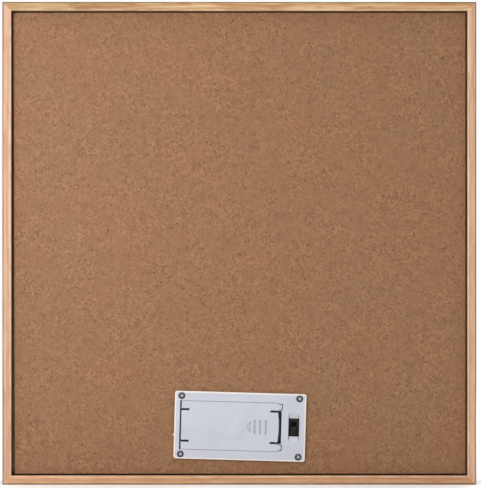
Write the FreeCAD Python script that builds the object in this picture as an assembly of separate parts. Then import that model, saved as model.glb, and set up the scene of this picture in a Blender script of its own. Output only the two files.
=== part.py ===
import FreeCAD, Part
import math
import os

# Square wall clock: a slim mitred wooden shadow box with an open dial, twelve lamps at the hours, a geared
# quartz movement behind the dial, and a hardboard back with a two-cell battery box and a slide switch.
# Frame: X to the right as the dial is read, Y from the dial towards the wall, Z up. The origin is on the
# wall plane, on the axis of the hands. All sizes are in millimetres.

# ---------------------------------------------------------------- driving dimensions: case
CLOCK_WIDTH = 300.0
CLOCK_HEIGHT = 305.5
RAIL_THICKNESS = 5.5
RAIL_EDGE_ROUND = 0.5
BACK_RECESS = 5.0
BACK_PANEL_THICKNESS = 3.0
CAVITY_DEPTH = 16.0
DIAL_THICKNESS = 3.0
FRONT_RECESS = 9.0
CLOCK_DEPTH = BACK_RECESS + BACK_PANEL_THICKNESS + CAVITY_DEPTH + DIAL_THICKNESS + FRONT_RECESS

PANEL_BACK_Y = -BACK_RECESS
PANEL_FRONT_Y = PANEL_BACK_Y - BACK_PANEL_THICKNESS
DIAL_BACK_Y = PANEL_FRONT_Y - CAVITY_DEPTH
DIAL_FRONT_Y = DIAL_BACK_Y - DIAL_THICKNESS
FRONT_EDGE_Y = -CLOCK_DEPTH

INSIDE_HALF_WIDTH = CLOCK_WIDTH / 2 - RAIL_THICKNESS
INSIDE_HALF_HEIGHT = CLOCK_HEIGHT / 2 - RAIL_THICKNESS
BATTEN_WIDTH = 10.0
PANEL_GAP = 1.1                 # gap between the hardboard and the rails
PANEL_TAPER = 0.9               # one hardboard edge is cut this far out of square
DIAL_GAP = 0.4
BRAD_RADIUS = 0.5
BRAD_HEAD_RADIUS = 0.8
BRAD_HEAD_HEIGHT = 0.6
BRAD_LENGTH = 18.0
BRAD_INSET = 9.0                # from the frame's front and rear edges to the brads

# ---------------------------------------------------------------- driving dimensions: hour lamps
LAMP_COUNT = 12
LAMP_CIRCLE_RADIUS = 122.0
LAMP_RADIUS = 1.5
LAMP_FLANGE_RADIUS = 1.9
LAMP_FLANGE_HEIGHT = 1.0
LAMP_BARREL = 2.9               # straight part, up to the start of the dome
LAMP_HOLE_RADIUS = 1.55
LAMP_LEG_SIZE = 0.4
LAMP_LEG_PITCH = 2.0
LAMP_LEG_LENGTH = 0.8
RING_WIRE_RADIUS = 0.35
LEAD_RADIUS = 0.5
RING_START_TURN = 202.0         # the ring wires are open over the switch's bay
RING_SWEEP = 348.0
RESISTOR_RADIUS = 0.9
RESISTOR_LENGTH = 3.6

# ---------------------------------------------------------------- driving dimensions: battery box
BOX_CENTRE_X = -0.4
BOX_CENTRE_Z = -116.1
BOX_TILT = -1.6                 # degrees about +Y: the box is screwed on slightly out of square
PLATE_WIDTH = 83.4
PLATE_HEIGHT = 43.0
PLATE_THICKNESS = 2.0
PLATE_CORNER = 1.6
PLATE_BACK_Y = PANEL_BACK_Y + PLATE_THICKNESS
PLATE_FRONT_Y = PANEL_BACK_Y
TUB_FLOOR_Y = -20.5
TUB_WALL = 1.2
TUB_HALF_HEIGHT = 16.4
TUB_LEFT_X = -39.4              # end at the switch
TUB_RIGHT_X = 41.0              # end at the door's hinge
CELL_BAY_LEFT_X = -23.0
CELL_BAY_RIGHT_X = 36.0
CELL_BAY_HALF_HEIGHT = 14.9
SWITCH_BAY_RIGHT_X = -29.5
CELL_RADIUS = 7.1
CELL_LENGTH = 49.3
CELL_NUB_RADIUS = 2.7
CELL_NUB_LENGTH = 1.2
CELL_Y = -12.1
CELL_Z = 7.4
BOX_SCREW_X = 37.35
BOX_SCREW_Z = 18.5
BOX_SCREW_HEAD_RADIUS = 1.95
BOX_SCREW_HEAD_HEIGHT = 1.1
BOX_SCREW_RADIUS = 1.1
BOX_SCREW_LENGTH = 6.0
BOX_SCREW_SINK_RADIUS = 2.2
BOX_SCREW_SINK_DEPTH = 1.2

DOOR_THICKNESS = 1.6
DOOR_HINGE_X = 37.3             # door edge at the hinge
DOOR_LATCH_X = -24.0            # door edge at the latch tongue
DOOR_HALF_HEIGHT = 15.3
DOOR_GAP = 0.22                 # along the long sides
DOOR_AXIS_X = 38.0              # the line that the door tips about, over its toe
DOOR_AXIS_Y = -3.6
TOE_ROLL_RADIUS = 2.85          # the hook's underside is round about that line
HINGE_GAP = 1.0
LATCH_GAP = 2.2
LUG_REACH = 2.4                 # corner lugs beside the latch tongue
LUG_HALF_HEIGHT_OUT = 14.6
LUG_HALF_HEIGHT_IN = 11.2
LUG_GAP = 0.45
SLIT_Z = 10.0
SLIT_WIDTH = 1.3
SLIT_LENGTH = 5.0
TONGUE_BOW = 0.5
GRIP_DEPTH = 0.35
GRIP_BARS_X = (-9.2, -12.8, -16.4)
GRIP_BAR_WIDTH = 1.2
GRIP_BAR_HALF_HEIGHT = 4.4
GRIP_ARROW_TIP_X = -4.0
GRIP_ARROW_BASE_X = -6.6
GRIP_ARROW_HALF_HEIGHT = 3.6

SWITCH_X = -34.1
SWITCH_Z = 0.2
SWITCH_WINDOW_HALF_WIDTH = 3.45
SWITCH_WINDOW_HALF_HEIGHT = 5.75
SWITCH_RAMP_LENGTH = 3.1
SWITCH_RAMP_DEPTH = 1.3
SWITCH_FACE_Y = PLATE_FRONT_Y - 0.2
SWITCH_CASE_WIDTH = 7.8
SWITCH_CASE_HEIGHT = 13.0
SWITCH_CASE_DEPTH = 5.0
SWITCH_SLOT_HALF_WIDTH = 1.85
SWITCH_SLOT_HALF_HEIGHT = 3.9
KNOB_HALF_WIDTH = 1.7
KNOB_HALF_HEIGHT = 2.1
KNOB_TOP_Y = PLATE_BACK_Y - 0.35
SWITCH_TRAVEL = 3.2
SWITCH_PIN_PITCH = 3.0
SWITCH_PIN_REACH = 3.0
SWITCH_PIN_END_Y = SWITCH_FACE_Y - SWITCH_CASE_DEPTH - SWITCH_PIN_REACH

# ---------------------------------------------------------------- driving dimensions: movement
WASHER_THICKNESS = 0.8
MOVEMENT_FRONT_Y = DIAL_BACK_Y + WASHER_THICKNESS
MOVEMENT_BACK_Y = PANEL_FRONT_Y - 0.9
MOVEMENT_LEFT_X = -21.0
MOVEMENT_RIGHT_X = 21.0
MOVEMENT_BOTTOM_Z = -18.0
MOVEMENT_TOP_Z = 29.0
MOVEMENT_WALL = 1.2
MOVEMENT_SPLIT_Y = -14.4        # joint between the base and the cover
MOVEMENT_CORNER = 2.5
BUSH_RADIUS = 4.0
BUSH_END_Y = -30.2
NUT_AF = 11.0
NUT_HEIGHT = 2.2
NUT_WASHER_RADIUS = 7.0
NUT_WASHER_HEIGHT = 0.5
PIVOT_CLEARANCE = 0.03
ARBOR_RADIUS = 0.5
HOUR_PIPE_RADIUS = 2.5
MINUTE_PIPE_RADIUS = 1.6

# Gear train: teeth and modules. Motion work 12:36 and 10:40 gives 12 to 1 from minutes to hours.
# Going train 8:64 and 8:60 gives 60 to 1 from seconds to minutes. 10:60 and 8:40 gives 30 to 1 at the rotor.
CANNON_TEETH, MOTION_WHEEL_TEETH = 12, 36
MOTION_PINION_TEETH, HOUR_WHEEL_TEETH = 10, 40
SECOND_PINION_TEETH, THIRD_WHEEL_TEETH = 8, 64
THIRD_PINION_TEETH, CENTRE_WHEEL_TEETH = 8, 60
STEP_PINION_TEETH, SECOND_WHEEL_TEETH = 10, 60
ROTOR_PINION_TEETH, STEP_WHEEL_TEETH = 8, 40
CANNON_MODULE = 0.4
SECOND_PINION_MODULE = 0.25
STEP_MODULE = 0.25
MOTION_DISTANCE = CANNON_MODULE * (CANNON_TEETH + MOTION_WHEEL_TEETH) / 2
HOUR_MODULE = 2 * MOTION_DISTANCE / (MOTION_PINION_TEETH + HOUR_WHEEL_TEETH)
THIRD_DISTANCE = SECOND_PINION_MODULE * (SECOND_PINION_TEETH + THIRD_WHEEL_TEETH) / 2
CENTRE_MODULE = 2 * THIRD_DISTANCE / (THIRD_PINION_TEETH + CENTRE_WHEEL_TEETH)
STEP_DISTANCE = STEP_MODULE * (STEP_PINION_TEETH + SECOND_WHEEL_TEETH) / 2
ROTOR_DISTANCE = STEP_MODULE * (ROTOR_PINION_TEETH + STEP_WHEEL_TEETH) / 2
MOTION_ANGLE = 20.0             # directions of the arbors from the centre, from +X towards +Z
THIRD_ANGLE = 200.0
STEP_ANGLE = 80.0
ROTOR_ANGLE = 70.0              # direction of the rotor from the step wheel's arbor

# Planes of the train, front to rear, each (front, rear)
HOUR_WHEEL_Y = (-21.7, -20.8)
MOTION_PINION_Y = (-21.8, -20.4)
MOTION_WHEEL_Y = (-20.4, -19.6)
CANNON_Y = (-20.5, -19.3)
MIDDLE_PLATE_Y = (-19.0, -18.4)
CENTRE_WHEEL_Y = (-17.8, -17.1)
THIRD_PINION_Y = (-18.1, -16.7)
SECOND_PINION_Y = (-16.3, -14.9)
THIRD_WHEEL_Y = (-16.0, -15.2)
STEP_PINION_Y = (-14.5, -13.0)
SECOND_WHEEL_Y = (-14.1, -13.3)
ROTOR_PINION_Y = (-12.6, -11.0)
STEP_WHEEL_Y = (-12.2, -11.4)
MAGNET_Y = (-17.0, -13.6)
STATOR_Y = (-15.8, -14.9)
MINUTE_ARBOR_REAR_Y = -16.6
PIVOT_DEPTH = 0.6

MAGNET_RADIUS = 2.9
STATOR_HOLE_RADIUS = 3.5
STATOR_RING_RADIUS = 4.9
COIL_Z = 23.3
COIL_LENGTH = 17.0
COIL_RADIUS = 3.7
COIL_FLANGE_RADIUS = 4.2
COIL_FLANGE_WIDTH = 1.0
COIL_CORE_LENGTH = 29.0
COIL_CORE_HEIGHT = 3.0
COIL_CORE_THICKNESS = 1.2
BOARD_Y = (-12.8, -12.0)
BOARD_HALF_LENGTH = 14.0
BOARD_Z = (-16.4, -11.4)
TERMINAL_X = 7.0
TERMINAL_THICKNESS = 0.4
TERMINAL_END_Z = MOVEMENT_BOTTOM_Z - 3.0

# ---------------------------------------------------------------- driving dimensions: hands
HOUR_HAND_Y = -31.2
MINUTE_HAND_Y = -32.9
SECOND_HAND_Y = -35.0
HAND_THICKNESS = 0.5
HOUR_HAND_LENGTH = 70.0
HOUR_HAND_WIDTH = 6.0
MINUTE_HAND_LENGTH = 102.0
MINUTE_HAND_WIDTH = 4.6
SECOND_HAND_LENGTH = 110.0
SECOND_HAND_TAIL = 30.0
SECOND_HAND_WIDTH = 1.2
HAND_TAIL = 18.0
SHOWN_HOUR = 10
SHOWN_MINUTE = 8.6
MINUTE_HAND_TURN = 6.0 * SHOWN_MINUTE
HOUR_HAND_TURN = 30.0 * (SHOWN_HOUR + SHOWN_MINUTE / 60.0)
SECOND_HAND_TURN = 360.0 * (SHOWN_MINUTE % 1)

V = FreeCAD.Vector
BACKWARDS = V(0, 1, 0)
NODES = {}


# ---------------------------------------------------------------- helpers
def block(x, y, z):
    """A box between two corners, given as (low, high) on each axis."""
    return Part.makeBox(x[1] - x[0], y[1] - y[0], z[1] - z[0], V(x[0], y[0], z[0]))


def disc(radius, y, x=0.0, z=0.0):
    """A cylinder along Y between y[0] and y[1]."""
    return Part.makeCylinder(radius, y[1] - y[0], V(x, y[0], z), BACKWARDS)


def ring(outer, inner, y, x=0.0, z=0.0):
    return disc(outer, y, x, z).cut(disc(inner, (y[0] - 1, y[1] + 1), x, z))


def prism(points, y):
    """A straight-sided plate: points are (x, z) round its outline."""
    corners = [V(x, y[0], z) for x, z in points]
    face = Part.Face(Part.makePolygon(corners + corners[:1]))
    return face.extrude(V(0, y[1] - y[0], 0))


def rounded_block(x, y, z, radius):
    """A box whose four edges along Y are rounded."""
    body = block(x, y, z)
    along_y = [e for e in body.Edges if abs(e.Vertexes[0].Y - e.Vertexes[1].Y) > 1e-6]
    return body.makeFillet(radius, along_y)


def fuse(first, *others):
    joined = first.multiFuse(list(others)) if others else first
    return joined.removeSplitter()


def cut(body, *tools):
    for tool in tools:
        body = body.cut(tool)
    return body


def keep(name, *solids):
    """Names the finished piece. Several solids are identical pieces that share one node."""
    found = [s for shape in solids for s in shape.Solids]
    for solid in found:
        if not solid.isValid() or solid.Volume <= 0:
            raise ValueError(f"{name} has a bad solid")
    NODES[name] = found[0] if len(found) == 1 else Part.makeCompound(found)
    return NODES[name]


def polar(radius, degrees):
    """(x, z) of a point at an angle from +X towards +Z."""
    return radius * math.cos(math.radians(degrees)), radius * math.sin(math.radians(degrees))


def dial_point(radius, clockwise):
    """(x, z) of a point on the dial, turned clockwise from twelve."""
    return polar(radius, 90.0 - clockwise)


def turned(shape, clockwise):
    """A copy of shape, turned clockwise about the hands' axis as the dial is read."""
    shape = shape.copy()
    shape.rotate(V(0, 0, 0), BACKWARDS, clockwise)
    return shape


def in_box(shape):
    """Carries a shape from the battery box's own square frame to its place on the back panel."""
    shape = shape.copy()
    shape.rotate(V(0, 0, 0), BACKWARDS, BOX_TILT)
    shape.translate(V(BOX_CENTRE_X, 0, BOX_CENTRE_Z))
    return shape


def box_point(x, y, z):
    """A point of the battery box's frame, in the clock's frame."""
    placed = FreeCAD.Rotation(BACKWARDS, BOX_TILT).multVec(V(x, y, z))
    return placed + V(BOX_CENTRE_X, 0, BOX_CENTRE_Z)


def wire_solid(points, radius):
    """A round wire along straight runs joined by tangent arcs, each as wide as its shorter run allows."""
    points = [V(*p) for p in points]
    edges = []
    start = points[0]
    for before, corner, after in zip(points, points[1:], points[2:]):
        into = (corner - before).normalize()
        out = (after - corner).normalize()
        turn = into.getAngle(out)
        shorter = min((corner - before).Length, (after - corner).Length)
        arc_radius = 0.45 * shorter / math.tan(turn / 2)
        setback = arc_radius * math.tan(turn / 2)
        first = corner - into * setback
        last = corner + out * setback
        to_centre = (out - into).normalize()
        middle = corner + to_centre * (arc_radius / math.cos(turn / 2) - arc_radius)
        edges.append(Part.LineSegment(start, first).toShape())
        edges.append(Part.Arc(first, middle, last).toShape())
        start = last
    edges.append(Part.LineSegment(start, points[-1]).toShape())
    path = Part.Wire(edges)
    direction = (points[1] - points[0]).normalize()
    section = Part.Wire(Part.Circle(points[0], direction, radius).toShape())
    return path.makePipeShell([section], True, False)


# ---------------------------------------------------------------- gears
def rolled_angle(pitch_radius, rolling_radius, radius):
    """How far round a cycloidal flank has leant, in radians, where it reaches the given radius."""
    carrier = pitch_radius + rolling_radius
    cosine = (carrier ** 2 + rolling_radius ** 2 - radius ** 2) / (2 * rolling_radius * carrier)
    roll = rolling_radius / pitch_radius * math.acos(max(-1.0, min(1.0, cosine)))
    spin = carrier / rolling_radius * roll
    x = carrier * math.cos(roll) - rolling_radius * math.cos(spin)
    z = carrier * math.sin(roll) - rolling_radius * math.sin(spin)
    return math.atan2(z, x)


def gear(teeth, module, mate_teeth, y, centre, tooth_angle):
    """A cycloidal clock wheel or pinion, with one tooth at tooth_angle degrees. Flanks are radial below the
    pitch circle, and above it follow the curve that half the mate's pitch circle rolls."""
    pinion = teeth < mate_teeth
    pitch_radius = module * teeth / 2
    rolling_radius = module * mate_teeth / 4
    tip = pitch_radius + module * (0.75 if pinion else 1.05)
    root = pitch_radius - module * (1.45 if pinion else 1.15)
    half_tooth = math.pi / teeth * (0.40 if pinion else 0.46)
    heights = (pitch_radius, (pitch_radius + tip) / 2, tip)
    outline = []
    for n in range(teeth):
        middle = math.radians(tooth_angle) + 2 * math.pi * n / teeth
        lean = [rolled_angle(pitch_radius, rolling_radius, h) for h in heights]
        rising = [(root, -half_tooth)] + [(h, -half_tooth + a) for h, a in zip(heights, lean)]
        falling = [(h, -a) for h, a in reversed(rising)]
        for h, a in rising + falling:
            outline.append((centre[0] + h * math.cos(middle + a), centre[1] + h * math.sin(middle + a)))
    return prism(outline, y)


def mesh_angles(driver_teeth, driven_teeth, towards):
    """Tooth angles that put a tooth of the first gear in a space of the second, which lies that way."""
    return towards, towards + 180.0 + 180.0 / driven_teeth


MOTION_AT = polar(MOTION_DISTANCE, MOTION_ANGLE)
THIRD_AT = polar(THIRD_DISTANCE, THIRD_ANGLE)
STEP_AT = polar(STEP_DISTANCE, STEP_ANGLE)
ROTOR_AT = tuple(a + b for a, b in zip(STEP_AT, polar(ROTOR_DISTANCE, ROTOR_ANGLE)))


# ---------------------------------------------------------------- case
def rails():
    """Four mitred rails, each a strip with eased long edges cut to its corner planes."""
    half_w, half_h = CLOCK_WIDTH / 2, CLOCK_HEIGHT / 2
    in_w, in_h = INSIDE_HALF_WIDTH, INSIDE_HALF_HEIGHT
    depth = (FRONT_EDGE_Y, 0.0)

    def strip(x, z):
        body = block(x, depth, z)
        along_x = (x[1] - x[0]) > (z[1] - z[0])
        long_edges = [
            e for e in body.Edges
            if e.Length > half_w and (abs(e.Vertexes[0].X - e.Vertexes[1].X) > 1.0) == along_x
        ]
        return body.makeFillet(RAIL_EDGE_ROUND, long_edges)

    level = strip((-half_w, half_w), (in_h, half_h))
    upright = strip((in_w, half_w), (-half_h, half_h))
    level = level.common(prism([(-half_w, half_h), (half_w, half_h), (in_w, in_h), (-in_w, in_h)], depth))
    upright = upright.common(prism([(half_w, half_h), (half_w, -half_h), (in_w, -in_h), (in_w, in_h)], depth))
    return {
        "frame_rail_top": level,
        "frame_rail_bottom": level.mirror(V(0, 0, 0), V(0, 0, 1)),
        "frame_rail_right": upright,
        "frame_rail_left": upright.mirror(V(0, 0, 0), V(1, 0, 0)),
    }


def corner_brads():
    """Two brads through each upright's end into the rail that it meets."""
    brads = []
    for side in (-1, 1):
        for z in (-1, 1):
            for y in (-BRAD_INSET, FRONT_EDGE_Y + BRAD_INSET):
                at = V(side * CLOCK_WIDTH / 2, y, z * (CLOCK_HEIGHT - RAIL_THICKNESS) / 2)
                inwards = V(-side, 0, 0)
                head = Part.makeCylinder(BRAD_HEAD_RADIUS, BRAD_HEAD_HEIGHT, at, inwards)
                shank = Part.makeCylinder(BRAD_RADIUS, BRAD_LENGTH, at, inwards)
                brads.append(head.fuse(shank).removeSplitter())
    return brads


def make_frame():
    brads = corner_brads()
    for name, rail in rails().items():
        keep(name, cut(rail, *brads))
    keep("frame_corner_brads", *brads)


def make_battens():
    """The inner frame that spaces the dial board from the hardboard. Both are glued to it."""
    y = (DIAL_BACK_Y, PANEL_FRONT_Y)
    in_w, in_h = INSIDE_HALF_WIDTH, INSIDE_HALF_HEIGHT
    keep("inner_batten_top", block((-in_w, in_w), y, (in_h - BATTEN_WIDTH, in_h)))
    keep("inner_batten_bottom", block((-in_w, in_w), y, (-in_h, -in_h + BATTEN_WIDTH)))
    side = (-in_h + BATTEN_WIDTH, in_h - BATTEN_WIDTH)
    keep("inner_batten_right", block((in_w - BATTEN_WIDTH, in_w), y, side))
    keep("inner_batten_left", block((-in_w, -in_w + BATTEN_WIDTH), y, side))


def make_back_panel():
    """Hardboard, a little smaller than the frame, with one edge cut slightly out of square."""
    w, h = INSIDE_HALF_WIDTH - PANEL_GAP, INSIDE_HALF_HEIGHT - PANEL_GAP
    outline = [(-w, -h), (w - PANEL_TAPER, -h), (w, h), (-w, h)]
    panel = prism(outline, (PANEL_FRONT_Y, PANEL_BACK_Y))
    slack = 0.4
    hole = block(
        (TUB_LEFT_X - slack, TUB_RIGHT_X + slack),
        (PANEL_FRONT_Y - 1, PANEL_BACK_Y + 1),
        (-TUB_HALF_HEIGHT - slack, TUB_HALF_HEIGHT + slack),
    )
    screws = [in_box(shape) for shape in box_screw_shanks()]
    keep("back_panel", cut(panel, in_box(hole), *screws))


def make_dial_board():
    w, h = INSIDE_HALF_WIDTH - DIAL_GAP, INSIDE_HALF_HEIGHT - DIAL_GAP
    board = block((-w, w), (DIAL_FRONT_Y, DIAL_BACK_Y), (-h, h))
    through = (DIAL_FRONT_Y - 1, DIAL_BACK_Y + 1)
    holes = [disc(LAMP_HOLE_RADIUS, through, *dial_point(LAMP_CIRCLE_RADIUS, a)) for a in lamp_turns()]
    keep("dial_board", cut(board, disc(BUSH_RADIUS, through), *holes))


# ---------------------------------------------------------------- hour lamps
def lamp_turns():
    return [360.0 / LAMP_COUNT * n for n in range(LAMP_COUNT)]


def make_lamps():
    """Twelve 3 mm lamps pushed into the dial board from behind, with two short legs each."""
    lamps, legs = [], []
    flange_y = DIAL_BACK_Y + LAMP_FLANGE_HEIGHT
    dome_y = DIAL_BACK_Y - LAMP_BARREL - 0.8
    for turn in lamp_turns():
        x, z = dial_point(LAMP_CIRCLE_RADIUS, turn)
        flange = disc(LAMP_FLANGE_RADIUS, (DIAL_BACK_Y, flange_y), x, z)
        barrel = disc(LAMP_RADIUS, (dome_y, DIAL_BACK_Y), x, z)
        dome = Part.makeSphere(LAMP_RADIUS, V(x, dome_y, z))
        lamps.append(fuse(flange, barrel, dome))
        for side in (-1, 1):
            half = LAMP_LEG_SIZE / 2
            radius = LAMP_CIRCLE_RADIUS + side * LAMP_LEG_PITCH / 2
            leg = block(
                (-half, half), (flange_y, flange_y + LAMP_LEG_LENGTH), (radius - half, radius + half)
            )
            legs.append(turned(leg, turn))
    keep("hour_lamps", *lamps)
    keep("hour_lamp_legs", *legs)


RING_WIRE_Y = DIAL_BACK_Y + LAMP_FLANGE_HEIGHT + LAMP_LEG_LENGTH + RING_WIRE_RADIUS


def make_lamp_ring_wires():
    """Two open rings of fine wire, soldered to the lamps' outer and inner legs."""
    wires = []
    for side in (-1, 1):
        twelve = V(0, RING_WIRE_Y, LAMP_CIRCLE_RADIUS + side * LAMP_LEG_PITCH / 2)
        section = Part.Face(Part.Wire(Part.Circle(twelve, V(1, 0, 0), RING_WIRE_RADIUS).toShape()))
        wires.append(turned(section.revolve(V(0, 0, 0), BACKWARDS, RING_SWEEP), RING_START_TURN))
    keep("lamp_ring_wires", *wires)


# ---------------------------------------------------------------- battery box
def box_screw_places():
    return [(x, z) for x in (-BOX_SCREW_X, BOX_SCREW_X) for z in (-BOX_SCREW_Z, BOX_SCREW_Z)]


BOX_SCREW_SEAT_Y = PLATE_BACK_Y - BOX_SCREW_SINK_DEPTH


def box_screw_shanks():
    tip = BOX_SCREW_SEAT_Y - BOX_SCREW_LENGTH
    return [disc(BOX_SCREW_RADIUS, (tip, BOX_SCREW_SEAT_Y), x, z) for x, z in box_screw_places()]


def make_box_screws():
    """Small pan-head screws with a cross recess, in sunk seats at the plate's corners."""
    screws = []
    head_top = BOX_SCREW_SEAT_Y + BOX_SCREW_HEAD_HEIGHT
    recess_depth = 0.7
    for turn, (x, z) in zip((18.0, 52.0, 35.0, 8.0), box_screw_places()):
        head = disc(BOX_SCREW_HEAD_RADIUS, (BOX_SCREW_SEAT_Y, head_top), x, z)
        rim = [e for e in head.Edges if abs(e.BoundBox.YMin - head_top) < 1e-6 and e.BoundBox.YLength < 1e-6]
        head = head.makeFillet(0.45, rim)
        shank = disc(BOX_SCREW_RADIUS, (BOX_SCREW_SEAT_Y - BOX_SCREW_LENGTH + 1.2, BOX_SCREW_SEAT_Y), x, z)
        point = Part.makeCone(
            0.25, BOX_SCREW_RADIUS, 1.2, V(x, BOX_SCREW_SEAT_Y - BOX_SCREW_LENGTH, z), BACKWARDS
        )
        recess_y = (head_top - recess_depth, head_top + 1)
        for quarter in (0.0, 90.0):
            slot = block((x - 1.15, x + 1.15), recess_y, (z - 0.28, z + 0.28))
            slot.rotate(V(x, 0, z), BACKWARDS, turn + quarter)
            head = head.cut(slot)
        screws.append(in_box(fuse(head, shank, point)))
    keep("battery_box_screws", *screws)


def door_plan(margin, lug_margin, y):
    """The door's plan, grown by a margin: the main panel, and a lug at each latch corner."""
    height = DOOR_HALF_HEIGHT + margin
    main = block((DOOR_LATCH_X, DOOR_HINGE_X), y, (-height, height))
    lugs = []
    for side in (-1, 1):
        z = sorted((side * (LUG_HALF_HEIGHT_IN - lug_margin), side * (LUG_HALF_HEIGHT_OUT + lug_margin)))
        lug = block((DOOR_LATCH_X - LUG_REACH - lug_margin, DOOR_LATCH_X + 1), y, z)
        free_edges = [
            e for e in lug.Edges
            if e.BoundBox.YLength > 0.1 and e.BoundBox.XMax < DOOR_LATCH_X - LUG_REACH / 2
        ]
        lugs.append(lug.makeFillet(1.1, free_edges))
    return main, lugs


def make_battery_tray():
    """Plate and tub in one moulding: a bay for two cells, and behind the plate a bay for the switch."""
    plate = rounded_block(
        (-PLATE_WIDTH / 2, PLATE_WIDTH / 2),
        (PLATE_FRONT_Y, PLATE_BACK_Y),
        (-PLATE_HEIGHT / 2, PLATE_HEIGHT / 2),
        PLATE_CORNER,
    )
    rim = [e for e in plate.Edges if abs(e.BoundBox.YMin - PLATE_BACK_Y) < 1e-6 and e.BoundBox.YLength < 1e-6]
    plate = plate.makeFillet(0.5, rim)
    tub = block((TUB_LEFT_X, TUB_RIGHT_X), (TUB_FLOOR_Y, PLATE_FRONT_Y), (-TUB_HALF_HEIGHT, TUB_HALF_HEIGHT))
    gate_mark = disc(0.8, (PLATE_FRONT_Y, PLATE_FRONT_Y + 1.2), PLATE_WIDTH / 2, -6.4)
    body = fuse(plate, tub, gate_mark)

    door_floor_y = PLATE_BACK_Y - DOOR_THICKNESS
    above = PLATE_BACK_Y + 1
    cell_bay = block(
        (CELL_BAY_LEFT_X, CELL_BAY_RIGHT_X),
        (TUB_FLOOR_Y + TUB_WALL, above),
        (-CELL_BAY_HALF_HEIGHT, CELL_BAY_HALF_HEIGHT),
    )
    door_pocket, lug_pockets = door_plan(DOOR_GAP, LUG_GAP, (door_floor_y, above))
    gap_height = DOOR_HALF_HEIGHT + DOOR_GAP
    hinge_gap = block(
        (DOOR_HINGE_X - 1, DOOR_HINGE_X + HINGE_GAP), (door_floor_y, above), (-gap_height, gap_height)
    )
    hinge_slot = block((CELL_BAY_RIGHT_X - 0.1, 39.8), (-8.6, PLATE_FRONT_Y), (-10.2, 10.2))
    hinge_mouth = block((CELL_BAY_RIGHT_X - 0.1, DOOR_HINGE_X + HINGE_GAP), (-8.6, above), (-10.2, 10.2))
    latch_slot = block((DOOR_LATCH_X - LATCH_GAP, CELL_BAY_LEFT_X + 0.1), (-11.0, above), (-10.4, 10.4))
    latch_undercut = block((DOOR_LATCH_X - LATCH_GAP - 1.0, DOOR_LATCH_X), (-8.0, PLATE_FRONT_Y), (-9.9, 9.9))
    switch_bay = block(
        (TUB_LEFT_X + TUB_WALL, SWITCH_BAY_RIGHT_X),
        (TUB_FLOOR_Y - 1, PLATE_FRONT_Y),
        (-TUB_HALF_HEIGHT + TUB_WALL, TUB_HALF_HEIGHT - TUB_WALL),
    )
    body = cut(
        body, cell_bay, door_pocket, *lug_pockets, hinge_gap, hinge_slot, hinge_mouth,
        latch_slot, latch_undercut, switch_bay, switch_recess(), *screw_seats(), *contact_slots()
    )
    keep("battery_tray", in_box(body))


def screw_seats():
    seats = []
    for x, z in box_screw_places():
        seats.append(disc(BOX_SCREW_SINK_RADIUS, (BOX_SCREW_SEAT_Y, PLATE_BACK_Y + 1), x, z))
        seats.append(disc(BOX_SCREW_RADIUS, (PLATE_FRONT_Y - 1, PLATE_BACK_Y), x, z))
    return seats


def switch_recess():
    """The switch's window, with a finger ramp above and below it."""
    w, h = SWITCH_WINDOW_HALF_WIDTH, SWITCH_WINDOW_HALF_HEIGHT
    end = h + SWITCH_RAMP_LENGTH
    top, bottom = PLATE_BACK_Y, PLATE_BACK_Y - SWITCH_RAMP_DEPTH
    side = [(-end, top), (-end, top + 1), (end, top + 1), (end, top), (h, bottom),
            (h, PLATE_FRONT_Y - 1), (-h, PLATE_FRONT_Y - 1), (-h, bottom)]
    corners = [V(SWITCH_X - w, y, SWITCH_Z + z) for z, y in side]
    face = Part.Face(Part.makePolygon(corners + corners[:1]))
    return face.extrude(V(2 * w, 0, 0))


CONTACT_THICKNESS = 0.4
CONTACT_Y = (-17.6, -8.8)
TAB_HALF_WIDTH = 1.2
TAB_REACH = 2.2
TAB_Y = (-16.2, -16.2 + CONTACT_THICKNESS)
TAB_MIDDLE_Y = sum(TAB_Y) / 2
LINK_WIRE_RADIUS = 0.3
BRIDGE_X = CELL_BAY_RIGHT_X - CONTACT_THICKNESS
DIVIDER_X = CELL_BAY_LEFT_X
PLUS_BUMP_HEIGHT = 0.5
UPPER_CELL_PLUS_X = BRIDGE_X - 0.05
LOWER_CELL_PLUS_X = DIVIDER_X + CONTACT_THICKNESS + PLUS_BUMP_HEIGHT + 0.05


def contact_slots():
    """Slots through the bay's ends for the contacts' solder tabs."""
    slots = [block((CELL_BAY_RIGHT_X - 0.1, TUB_RIGHT_X + 1), TAB_Y, (-TAB_HALF_WIDTH, TAB_HALF_WIDTH))]
    for z in (-CELL_Z, CELL_Z):
        across = (z - TAB_HALF_WIDTH, z + TAB_HALF_WIDTH)
        slots.append(block((SWITCH_BAY_RIGHT_X - 1, DIVIDER_X + 0.1), TAB_Y, across))
    return slots


def spring(x_plate, x_tip, z):
    """A conical contact spring along X, from its plate to the cell's flat end. Each half turn is half a ring,
    tilted by half the pitch, so that it leaves in the direction in which the next one starts."""
    half_turns, wide, narrow, wire = 8, 3.6, 2.2, 0.35
    inset = wire if x_tip > x_plate else -wire
    start, end = x_plate + inset, x_tip - inset
    halves = []
    for n in range(half_turns):
        side = 1 if n % 2 == 0 else -1
        x = [start + (end - start) * k / half_turns for k in (n, n + 1)]
        radius = [wide + (narrow - wide) * k / half_turns for k in (n, n + 1)]
        a = V(x[0], CELL_Y + side * radius[0], z)
        b = V(x[1], CELL_Y - side * radius[1], z)
        section = Part.Face(Part.Wire(Part.Circle(a, V(0, 0, 1), wire).toShape()))
        halves.append(section.revolve((a + b) / 2, V(0, 0, side).cross(b - a), 180.0))
    return fuse(*halves)


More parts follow.
